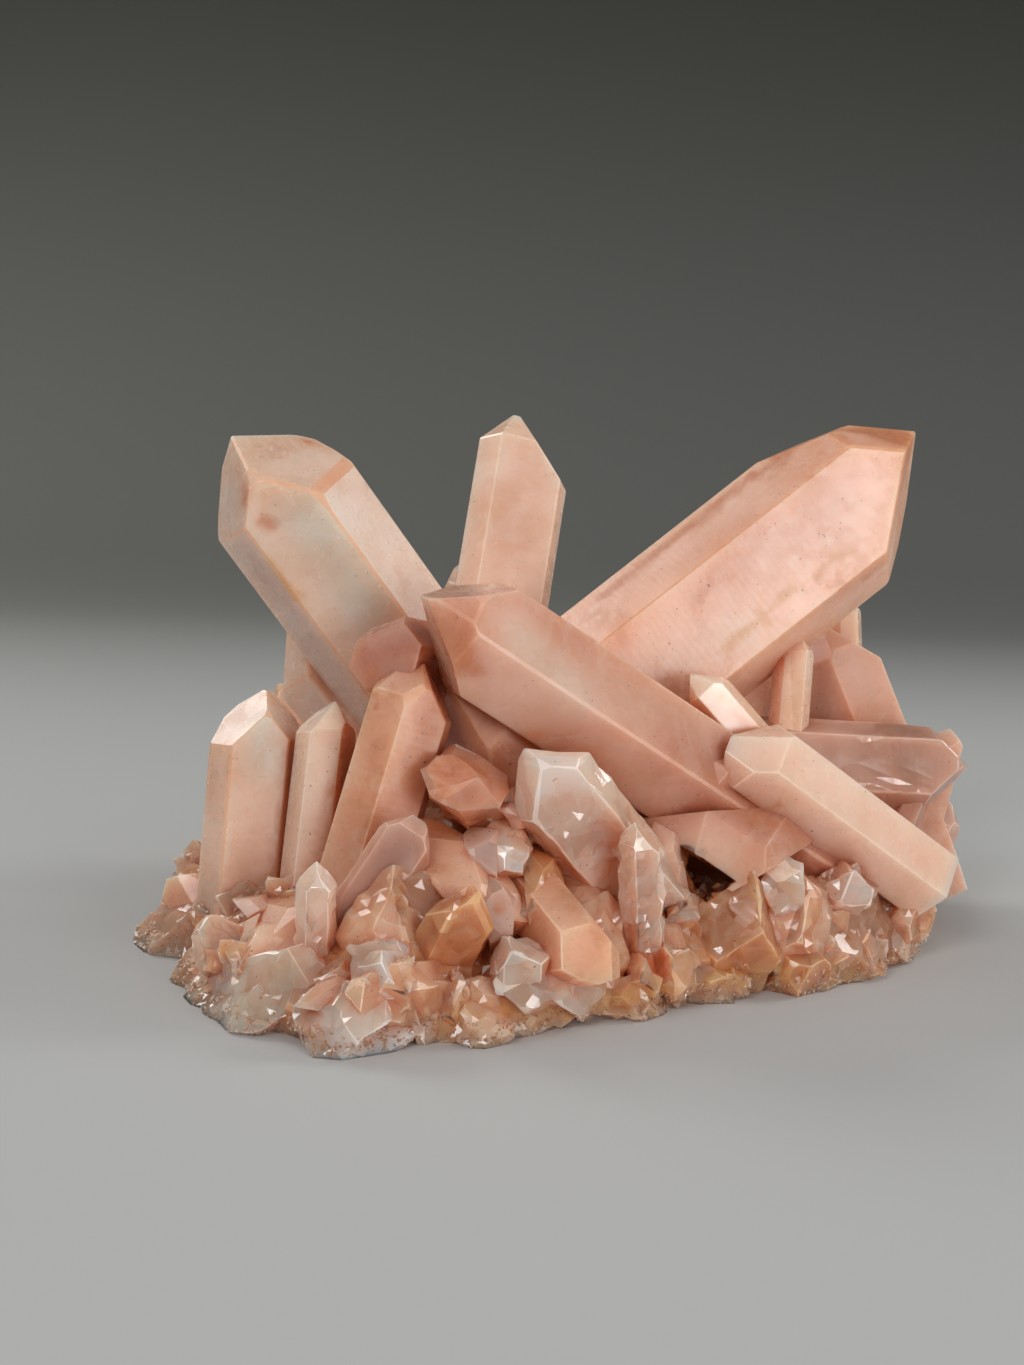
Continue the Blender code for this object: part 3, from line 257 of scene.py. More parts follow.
frontFragments = [
    Fragment("clear plate", "clear", (-26, -20, 1), (-33, -26, 2.5), (-29, -29, 5), (-24.5, -29, 5.5),
             (-23.5, -31.5, 5), (-25, -33, 3), (-27.5, -33, 1.5), (-30, -31, 0.5), (-33.5, -27, 1.5)),
    Fragment("clear chunk", "clear", (-17, -26, 3), (-24.5, -34, 1), (-23.5, -35, 3.5), (-22, -34.5, 4),
             (-19, -34.5, 4), (-16.5, -34, 2.5), (-16, -35, 1), (-18, -37, 0), (-20.5, -38, -0.5), (-23, -37, 1),
             breaks=7),
    Fragment("chunk's top", "clear", (-19, -26, 2), (-24, -33, 2), (-22.5, -32.5, 4.5), (-20.5, -36.5, 4.5),
             (-18, -35.5, 4.5), (-17.5, -37, 2.5), (-21, -38.5, 2), breaks=7),
    Fragment("pink blade", "rose", (-18, -26, 3), (-23.5, -34.5, 3.5), (-21, -30, 6), (-20, -29.5, 6),
             (-20, -32.5, 5), (-22.5, -35.5, 4)),
    Fragment("brown body", "druse", (-18, -18, 3), (-21, -28.5, 7.5), (-20, -28, 9.5), (-18, -27, 11.5),
             (-16, -26.5, 12), (-13.5, -27.5, 10), (-15, -29.5, 5.5), (-16.5, -30.5, 4), (-19.5, -30, 5.5), breaks=4),
    Fragment("pale hollow", "clear", (-17, -24, 0), (-20, -31.5, 7), (-18, -30.5, 7.5), (-16, -30.5, 7),
             (-15.5, -31.5, 5), (-16, -33, 3), (-18.5, -33.5, 3), (-19.5, -33, 4.5), breaks=7),
    Fragment("between left", "peach", (-24, -14, 3), (-29.5, -20, 7.5), (-26, -21, 9), (-23, -22, 9.5),
             (-22, -27, 7), (-24.5, -29, 5.5), (-28.5, -26, 6)),
    Fragment("left stub", "peach", (-25, -17, 3.5), (-29, -25, 6.5), (-28, -24, 7.5), (-26.5, -23.5, 8),
             (-25.5, -25.5, 7.5), (-25.5, -28, 5.5), (-27, -29, 5), (-28.5, -28, 5.5)),
    Fragment("left chip", "peach", (-30, -14, 2), (-31.5, -24, 4), (-31, -21, 6), (-30, -20.5, 7),
             (-28.5, -21.5, 7), (-29, -24.5, 6.5), (-29.5, -26.5, 5)),
    Fragment("pale chip", "rose", (-27, -14, 3), (-31.5, -17, 7), (-30, -18, 7.5), (-28.5, -17.5, 8),
             (-28.5, -20.5, 7.5), (-30, -21, 7)),
    Fragment("left lobe", "druse", (-30, -3, 0), (-41.5, -7, 1.5), (-40.5, -4, 4), (-38, -3.5, 6), (-36, -8, 6),
             (-36, -12.5, 4), (-38, -12.5, 1), (-41, -9, 0), breaks=3),
    Fragment("low left", "druse", (-29, -14, 0), (-38, -14, 1), (-35.5, -16, 3), (-32.5, -21, 3.5),
             (-33, -24, 1.5), (-34.5, -23, 0), (-37, -17, 0.5), breaks=7),
    Fragment("low left body", "druse", (-26, -16, 0), (-38, -14, 1), (-32.5, -20, 4), (-29.5, -26, 4),
             (-29, -30, 1.5), (-31.5, -29, 1), (-35, -22, -0.5), breaks=7),
    Fragment("low left tip", "clear", (-27, -18, 0), (-31.5, -28, 0), (-33, -25, 0.5), (-30.5, -28, 3),
             (-28.5, -32, 2), (-30, -31, 0)),
    Fragment("cracked cap", "cracked", (-9.5, -13, 13), (-15, -20.5, 19), (-13.5, -18.5, 21), (-12, -19.5, 20.5),
             (-9.5, -20, 19), (-9.5, -21.5, 18.5), (-10, -23, 17.5), (-12.5, -23.5, 17), (-14.5, -22.5, 18), breaks=7),
    Fragment("bright facets", "clear", (-8, -17, 10), (-10, -22, 15), (-8.5, -21.5, 15.5), (-7, -22.5, 14.5),
             (-7.5, -24.5, 12.5), (-9.5, -25, 12.5), breaks=7),
    Fragment("mauve ball", "smoky", (-10, -18, 10), (-12, -22.5, 14), (-11, -21.5, 15.5), (-9.5, -21.5, 15.5),
             (-9.5, -25.5, 12.5), (-11, -25, 13), breaks=7),
    Fragment("nugget", "cracked", (-7, -16, 13), (-9, -21.5, 16.5), (-8, -20.5, 17.5), (-7, -20, 18.5),
             (-7, -22, 15.5), (-8, -22.5, 15.5), breaks=7),
    Fragment("broad prism", "peach", (-10, -15, 3), (-16.5, -22, 12.5), (-16, -20, 15), (-14.5, -20.5, 16),
             (-12, -22.5, 14), (-9, -24.5, 12), (-7.5, -26.5, 10), (-11, -28, 10), (-13.5, -26.5, 11.5)),
    Fragment("peach body", "amber", (-2, -15, 2), (-7, -21, 14.5), (-6.5, -20.5, 14.5), (-4.5, -22, 12),
             (-3.5, -25, 8), (-2.5, -26.5, 6.5), (-5.5, -29.5, 5), (-6.5, -26.5, 9.5)),
    Fragment("brown face", "druse", (0, -12, 4), (-4.5, -21.5, 12), (-2.5, -22, 10.5), (0.5, -22.5, 8.5),
             (1, -25, 5), (-0.5, -27, 3), (-2.5, -25.5, 6), (-3.5, -24, 8), breaks=4),
    Fragment("front wedge", "clear", (-2, -18, 1), (-6, -27, 7.5), (-5.5, -26.5, 8), (-2, -26.5, 6.5),
             (-0.5, -28, 4.5), (-1.5, -29, 4), (-3, -30.5, 2.5), (-5, -30.5, 4.5), (-6.5, -28.5, 6.5)),
    Fragment("mauve face", "smoky", (-9, -21, 4), (-10.5, -27.5, 10), (-10, -26, 12), (-8, -26.5, 10.5),
             (-8, -28.5, 8.5), (-9.5, -29, 8)),
    Fragment("mid low", "druse", (-8, -20, 0), (-15.5, -32.5, 2.5), (-13, -32, 4), (-8.5, -31, 4.5),
             (-5, -30.5, 3), (-4, -29.5, 1.5), (-7, -31, 0.5), (-12.5, -33.5, 0.5), (-15, -33.5, 0.5), breaks=7),
    Fragment("low lump", "druse", (-10, -27, 0), (-12, -33.5, 1), (-11, -32.5, 3), (-9, -31.5, 3.5), (-7, -31.5, 2),
             (-8.5, -33, 0.5), (-10, -34, 0.5), breaks=7),
    Fragment("pale lump", "clear", (-5, -21, 0), (-9, -30.5, 6), (-7, -29.5, 7), (-5.5, -30.5, 5), (-5, -31.5, 4),
             (-7, -32.5, 3.5), (-8.5, -32, 4.5), breaks=7),
    Fragment("tan low", "druse", (2, -16, 0), (-4, -28, 2.5), (-0.5, -27, 3.5), (2.5, -25, 3.5), (7, -23, 2.5),
             (7.5, -23, 0.5), (2.5, -26, 0.5), (-0.5, -28, 1.5), breaks=7),
    Fragment("slab body", "rose", (6, -10, 5), (4, -17, 14.5), (6.5, -17.5, 12.5), (7, -18, 11), (6.5, -19, 8.5),
             (5.5, -19.5, 8), (3.5, -20, 7.5), (3, -19, 11.5), breaks=4),
    Fragment("hollow's lip", "rose", (10, -8, 11), (4, -16.5, 14.5), (8, -16, 15), (12, -15.5, 15.5),
             (16.5, -14.5, 15.5), (17, -15.5, 13), (12.5, -17.5, 11.5), (10.5, -18.5, 10), (6, -18, 12.5)),
    Fragment("right flat", "peach", (6, -12, 3), (4, -18.5, 8), (6, -18, 7.5), (8, -19, 6.5), (6.5, -20.5, 4.5),
             (4.5, -21.5, 3.5), (2.5, -22, 4.5)),
    Fragment("window block", "clear", (14, -9, 5), (13.5, -16.5, 11.5), (14.5, -16, 12), (16.5, -16, 11),
             (16.5, -17.5, 8.5), (14.5, -18.5, 8), (13.5, -18, 9.5)),
    Fragment("right body", "druse", (21, -6, 2), (14, -18, 8), (16.5, -15.5, 9.5), (20, -13, 9), (22.5, -12.5, 6.5),
             (22, -15, 2.5), (18.5, -17.5, 1.5), (14.5, -20, 2.5), breaks=7),
    Fragment("clear heap", "druse", (21, -6, 1), (17, -15, 7), (19.5, -13, 9), (22.5, -11.5, 9.5), (26, -10, 6),
             (27, -10.5, 3), (23.5, -14, 2), (19.5, -17, 1), (16.5, -18, 2.5), breaks=7),
    Fragment("far right", "clear", (30, 0, 4), (24, -8, 8), (28, -5, 8), (31, -3, 6), (30.5, -5, 2.5),
             (27.5, -8, 2), (24.5, -10, 4)),
    Fragment("right shelf", "clear", (27, -2, 2), (24, -8.5, 7), (27.5, -6.5, 5.5), (30, -5.5, 3), (30.5, -6.5, 1),
             (27.5, -8.5, 1), (25.5, -9.5, 4), breaks=7),
]

# The dark hollow between the lip and the wedge: its mouth, and the middle of its smaller far end
hollows = [
    Fragment("hollow", "crust", (9, -9, 8.5), (5.5, -21, 13.5), (7.5, -21, 12.5), (10.5, -21, 10.5), (8, -21, 8.5),
             (6.5, -21, 9.5), (6, -21, 12), breaks=0),
    Fragment("small hollow", "crust", (6, -14, 7), (4, -22, 8), (5.5, -22, 8.5), (4.5, -22, 7), breaks=0),
]


# Stubby broken points round the foot: name, root, tip, width across, finish
shards = [
    ("chip", (28.0, 0.0, 9.0), (30.4, 2.4, 15.2), 2.8, "smoky"),
    ("stub", (16.5, -10.0, 1.0), (14.0, -17.4, 5.4), 4.4, "druse"),
    ("stub", (27.0, -3.0, 1.0), (27.4, -6.6, 5.8), 4.4, "clear"),
    ("far chip", (34.0, 16.0, 1.0), (39.0, 19.0, 1.2), 3.4, "smoky"),
    ("plate", (2.0, -13.0, 5.5), (-3.4, -20.4, 17.0), 5.6, "clear"),
    ("lump", (4.6, -16.0, 3.2), (2.4, -25.6, 3.4), 4.0, "druse"),
    ("lump", (8.8, -14.0, 3.0), (7.8, -22.4, 1.8), 4.8, "druse"),
    ("stub", (0.0, -14.0, 2.5), (-1.8, -21.6, 9.2), 5.6, "peach"),
    ("stub", (20.0, -8.0, 6.0), (22.6, -11.4, 10.2), 4.4, "clear"),
    ("stub", (-35.5, 2.0, 1.0), (-39.0, 4.0, 6.4), 4.6, "druse"),
    ("stub", (-28.0, 12.0, 2.0), (-32.0, 19.0, 8.0), 5.2, "druse"),
    ("stub", (14.0, 16.0, 2.0), (15.0, 24.0, 9.0), 5.6, "druse"),
    ("stub", (30.0, 12.0, 1.0), (35.4, 14.0, 6.4), 4.4, "druse"),
]


def crystalAxes(root, tip):
    along = (tip - root).normalized()
    front = Vector((0.0, -1.0, 0.0))
    front = front - along * front.dot(along)
    if front.length < 0.2:
        front = Vector((0.0, 0.0, 1.0)) - along * along.z
    front.normalize()
    return along, front, along.cross(front)


def sliceAway(bm, through, normal):
    geometry = bm.verts[:] + bm.edges[:] + bm.faces[:]
    result = bmesh.ops.bisect_plane(bm, geom=geometry, dist=1e-5, plane_co=through, plane_no=normal,
                                    clear_outer=True)
    rim = [item for item in result["geom_cut"] if isinstance(item, bmesh.types.BMEdge)]
    if len(rim) < 3:
        return []
    return bmesh.ops.contextual_create(bm, geom=rim)["faces"]


def blockAround(middle, half):
    bm = bmesh.new()
    bmesh.ops.create_cube(bm, size=2.0 * half)
    bmesh.ops.translate(bm, verts=bm.verts, vec=middle)
    return bm


def cleave(growth):  # one crystal, cut out of a block face by face
    along, front, side = crystalAxes(growth.root, growth.tip)
    length = (growth.tip - growth.root).length
    apothem = growth.width / acrossCorners
    bm = blockAround((growth.root + growth.tip) / 2.0, length + 2.0 * growth.width)
    for face in range(6):
        turn = math.radians(growth.roll + 60.0 * face)
        outward = front * math.cos(turn) + side * math.sin(turn)
        reach = apothem * (growth.flat if face in (0, 3) else 1.0)
        sliceAway(bm, growth.tip + outward * reach - along * reach, outward)
        if growth.drops[face] > 0.0:
            shoulder = growth.tip + outward * reach - along * (reach * tipSlope * growth.drops[face])
            sliceAway(bm, shoulder, along * math.cos(tipFaceAngle) + outward * math.sin(tipFaceAngle))
    for turn, tilt, drop in growth.cuts:
        turn = math.radians(turn)
        tilt = math.radians(tilt)
        outward = front * math.cos(turn) + side * math.sin(turn)
        shoulder = growth.tip + outward * (growth.width / 2.0) - along * drop
        sliceAway(bm, shoulder, along * math.cos(tilt) + outward * math.sin(tilt))
    sliceAway(bm, growth.root, -along)
    return bm


def carve(fragment, draw):  # a front face of several broken faces, and a back that lies inside the cluster
    middle = sum(fragment.corners, Vector()) / len(fragment.corners)
    spread = pieces["spread"] if fragment.breaks else 1.0
    corners = [middle + (corner - middle) * spread for corner in fragment.corners]
    normal = Vector()
    for here, following in zip(corners, corners[1:] + corners[:1]):
        normal += (here - middle).cross(following - middle)
    normal.normalize()
    if normal.dot(middle - fragment.root) < 0.0:
        normal = -normal
    front = [corner - normal * normal.dot(corner - middle) for corner in corners]
    bm = bmesh.new()
    for corner in front:
        bm.verts.new(corner)
        bm.verts.new(fragment.root + (corner - middle) * pieces["backShare"])
    made = bmesh.ops.convex_hull(bm, input=bm.verts)
    loose = {item for key in ("geom_interior", "geom_unused") for item in made[key]}
    bmesh.ops.delete(bm, geom=[item for item in loose if isinstance(item, bmesh.types.BMVert)], context="VERTS")
    bmesh.ops.dissolve_limit(bm, angle_limit=math.radians(4.0), verts=bm.verts, edges=bm.edges)
    for _ in range(fragment.breaks):
        step = draw.randrange(len(front))
        rim = front[step].lerp(front[(step + 1) % len(front)], draw.random())
        share = draw.uniform(*pieces["breakPlaces"])
        swing = math.radians(draw.uniform(-pieces["breakSwing"], pieces["breakSwing"]))
        outward = Matrix.Rotation(swing, 3, normal) @ (rim - middle).normalized()
        tilt = math.radians(pieces["breakTilts"][0] + (pieces["breakTilts"][1] - pieces["breakTilts"][0]) * share)
        place = middle.lerp(rim, share) - normal * (pieces["breakDepth"] * share)
        sliceAway(bm, place, normal * math.cos(tilt) + outward * math.sin(tilt))
    return bm


def shape(growth, draw):
    return carve(growth, draw) if isinstance(growth, Fragment) else cleave(growth)


def wearEdges(bm, growth, draw):  # a narrow worn face along each edge, and a chip off some corners
    along = (growth.tip - growth.root).normalized()
    broken = isinstance(growth, Fragment)
    bm.normal_update()
    width = min(max(growth.width * wear["edgeShare"], wear["edgeLeast"]), wear["edgeMost"])
    planes = []
    growth.edges = []
    for edge in bm.edges:
        first, second = edge.link_faces
        if min(first.normal.dot(along), second.normal.dot(along)) < -0.9:
            continue  # round the root, which lies inside the cluster
        growth.edges.append((edge.verts[0].co.copy(), edge.verts[1].co.copy()))
        bend = first.normal.angle(second.normal)
        if broken and (bend < wear["sharpest"] or draw.random() < wear["skipped"]):
            continue
        middle = (edge.verts[0].co + edge.verts[1].co) / 2.0
        outward = (first.normal + second.normal).normalized()
        depth = width * math.tan(bend / 2.0) / 2.0 * draw.uniform(*wear["unevenness"])
        planes.append((middle - outward * depth, outward))
    for vert in bm.verts:
        if (vert.co - growth.root).dot(along) > growth.width * 0.5 and draw.random() < wear["nickChance"]:
            outward = sum((face.normal for face in vert.link_faces), Vector()).normalized()
            lean = Vector((draw.uniform(-0.3, 0.3), draw.uniform(-0.3, 0.3), draw.uniform(-0.3, 0.3)))
            depth = draw.uniform(*wear["nickDepths"]) * min(1.0, growth.width / 6.0)
            planes.append((vert.co - outward * depth, (outward + lean).normalized()))
    worn = bm.faces.layers.int["worn"]
    for through, normal in planes:
        for face in sliceAway(bm, through, normal):
            face[worn] = 1


def moundRing(share, height, draw):
    middle = Vector(crust["centre"])
    ring = []
    for corner in crust["outline"]:
        reach = (Vector(corner) - middle) * share * draw.uniform(0.97, 1.03)
        place = middle + reach
        ring.append(Vector((place.x, place.y, height * crust["height"] + draw.uniform(-0.4, 0.4))))
    return ring


def buildMound(draw):
    bm = bmesh.new()
    rings = [[bm.verts.new(place) for place in moundRing(share, height, draw)] for share, height in crust["rings"]]
    count = len(crust["outline"])
    for lower, upper in zip(rings, rings[1:]):
        for step in range(count):
            following = (step + 1) % count
            bm.faces.new((lower[step], lower[following], upper[following]))
            bm.faces.new((lower[step], upper[following], upper[step]))
    crown = bm.verts.new((*crust["centre"], crust["height"] + 0.5))
    heel = bm.verts.new((*crust["centre"], -crust["depthBelow"]))
    for step in range(count):
        following = (step + 1) % count
        bm.faces.new((rings[-1][step], rings[-1][following], crown))
        bm.faces.new((rings[0][following], rings[0][step], heel))
    return bm


def placeOnMound(turn, climb):  # a spot at a turn about the middle, from the rim (0) to the crown (1)
    middle = Vector(crust["centre"])
    count = len(crust["outline"])
    step = turn * count
    first = Vector(crust["outline"][int(step) % count])
    second = Vector(crust["outline"][(int(step) + 1) % count])
    rim = first.lerp(second, step % 1.0) - middle
    rings = crust["rings"][1:]
    level = climb * (len(rings) - 1.001)
    low = rings[int(level)]
    high = rings[int(level) + 1]
    share = low[0] + (high[0] - low[0]) * (level % 1.0)
    height = low[1] + (high[1] - low[1]) * (level % 1.0)
    place = middle + rim * share
    return Vector((place.x, place.y, height * crust["height"])), Vector((rim.x, rim.y, 0.0)).normalized()


def threeFacedTip(draw):
    drops = []
    for _ in range(3):
        drops.append(draw.uniform(0.7, 1.3))
        drops.append(draw.choice((0.0, 0.0, 0.35)))
    return drops


def crustGrains(draw):
    grains = []
    for number in range(crust["grainCount"]):
        climb = draw.random() ** 1.4
        place, outward = placeOnMound((number + draw.random()) / crust["grainCount"], climb)
        rise = math.radians(8.0 + 62.0 * climb + draw.uniform(-25.0, 25.0))
        swing = math.radians(draw.uniform(-40.0, 40.0))
        sideways = Vector((-outward.y, outward.x, 0.0))
        heading = (outward * math.cos(swing) + sideways * math.sin(swing)) * math.cos(rise)
        heading.z = math.sin(rise)
        width = draw.uniform(*crust["grainWidths"])
        stands = draw.uniform(*crust["grainStands"])
        drops = threeFacedTip(draw)
        grains.append(Growth("grain", place - heading * (width + 1.0), place + heading * stands, width, "druse",
                             roll=draw.uniform(0.0, 60.0), flat=draw.uniform(0.6, 1.0), drops=drops))
    return grains


def brokenPieces(draw):
    stubs = []
    for name, root, tip, width, finish in shards:
        drops = threeFacedTip(draw)
        cut = (draw.uniform(-180.0, 180.0), draw.uniform(35.0, 70.0), draw.uniform(0.5, 2.0))
        stubs.append(Growth(name, root, tip, width, finish, roll=draw.uniform(-30.0, 30.0),
                            flat=draw.uniform(0.55, 1.0), drops=drops, cuts=(cut,)))
    return stubs


def meshObject(bm, name, collection):
    bmesh.ops.recalc_face_normals(bm, faces=bm.faces)
    mesh = bpy.data.meshes.new(name)
    bm.to_mesh(mesh)
    bm.free()
    made = bpy.data.objects.new(name, mesh)
    collection.objects.link(made)
    return made


def markFaces(bm, number):  # the growth a face belongs to, and whether it is worn, which the joining keeps
    for name, value in (("growth", number), ("worn", 0)):
        layer = bm.faces.layers.int.get(name) or bm.faces.layers.int.new(name)
        for face in bm.faces:
            face[layer] = value


def joinWith(body, others, operation):
    step = body.modifiers.new(operation, "BOOLEAN")
    step.operation = operation
    step.operand_type = "COLLECTION"
    step.collection = others
    step.solver = "EXACT"
    bpy.context.view_layer.update()
    evaluated = body.evaluated_get(bpy.context.evaluated_depsgraph_get())
    joined = bpy.data.meshes.new_from_object(evaluated)
    body.modifiers.clear()
    body.data = joined
    for used in list(others.objects):
        bpy.data.objects.remove(used)


def keepOuterSkin(mesh):
    bm = bmesh.new()
    bm.from_mesh(mesh)
    waiting = set(bm.faces)
    skins = []
    while waiting:
        front = [waiting.pop()]
        skin = []
        while front:
            face = front.pop()
            skin.append(face)
            for edge in face.edges:
                for neighbour in edge.link_faces:
                    if neighbour in waiting:
                        waiting.remove(neighbour)
                        front.append(neighbour)
        skins.append(skin)
    skins.sort(key=len, reverse=True)
    for skin in skins[1:]:
        bmesh.ops.delete(bm, geom=skin, context="FACES")
    bmesh.ops.remove_doubles(bm, verts=bm.verts, dist=0.002)
    bmesh.ops.dissolve_degenerate(bm, edges=bm.edges, dist=0.002)
    bmesh.ops.triangulate(bm, faces=bm.faces)
    bm.to_mesh(mesh)
    bm.free()


def refine(mesh):  # triangles small enough to carry stains and a broken surface
    bm = bmesh.new()
    bm.from_mesh(mesh)
    for _ in range(grid["rounds"]):
        long = []
        for edge in bm.edges:
            low = min(edge.verts[0].co.z, edge.verts[1].co.z) < grid["fineBelow"]
            if edge.calc_length() > (grid["fine"] if low else grid["coarse"]):
                long.append(edge)
        if not long:
            break
        bmesh.ops.subdivide_edges(bm, edges=long, cuts=1, use_grid_fill=False)
        bmesh.ops.triangulate(bm, faces=[face for face in bm.faces if len(face.verts) > 3])
    bm.to_mesh(mesh)
    bm.free()


def planShift(growths):  # from the layout to the frame: the highest corner is the same in both
    corners = []
    for growth in growths:
        bm = cleave(growth)
        corners += [vert.co.copy() for vert in bm.verts]
        bm.free()
    here = max(corners, key=lambda corner: corner.z)
    there = max((vert.co for vert in frame["nodes"]["cluster"].data.vertices), key=lambda corner: corner.z)
    return Vector((there.x / mm - here.x, there.y / mm - here.y, 0.0))


grid = {
    "fine": 0.95,              # longest edges in the crust
    "coarse": 2.6,
    "fineBelow": 15.0,
    "rounds": 7,
}


def buildCluster():
    draw = random.Random(crust["seed"])
    wearDraw = random.Random(wear["seed"])
    pieceDraw = random.Random(pieces["seed"])
    others = bpy.data.collections.new("growths")
    bpy.context.scene.collection.children.link(others)
    bm = buildMound(draw)
    growths = mainGrowths + frontFragments + brokenPieces(draw) + crustGrains(draw)
    markFaces(bm, len(growths))
    cluster = meshObject(bm, "quartzCluster", bpy.context.scene.collection)
    for number, growth in enumerate(growths):
        bm = shape(growth, pieceDraw)
        markFaces(bm, number)
        wearEdges(bm, growth, wearDraw)
        owner = bm.faces.layers.int["growth"]
        for face in bm.faces:
            face[owner] = number
        meshObject(bm, growth.name, others)
    joinWith(cluster, others, "UNION")
    meshObject(blockAround(Vector((0.0, 0.0, -60.0)), 60.0), "foot", others)
    for hollow in hollows:
        bm = carve(hollow, pieceDraw)
        markFaces(bm, len(growths))
        meshObject(bm, hollow.name, others)
    joinWith(cluster, others, "DIFFERENCE")
    keepOuterSkin(cluster.data)
    print("joined:", len(cluster.data.polygons), "triangles")
    refine(cluster.data)
    bpy.data.collections.remove(others)
    return cluster, growths
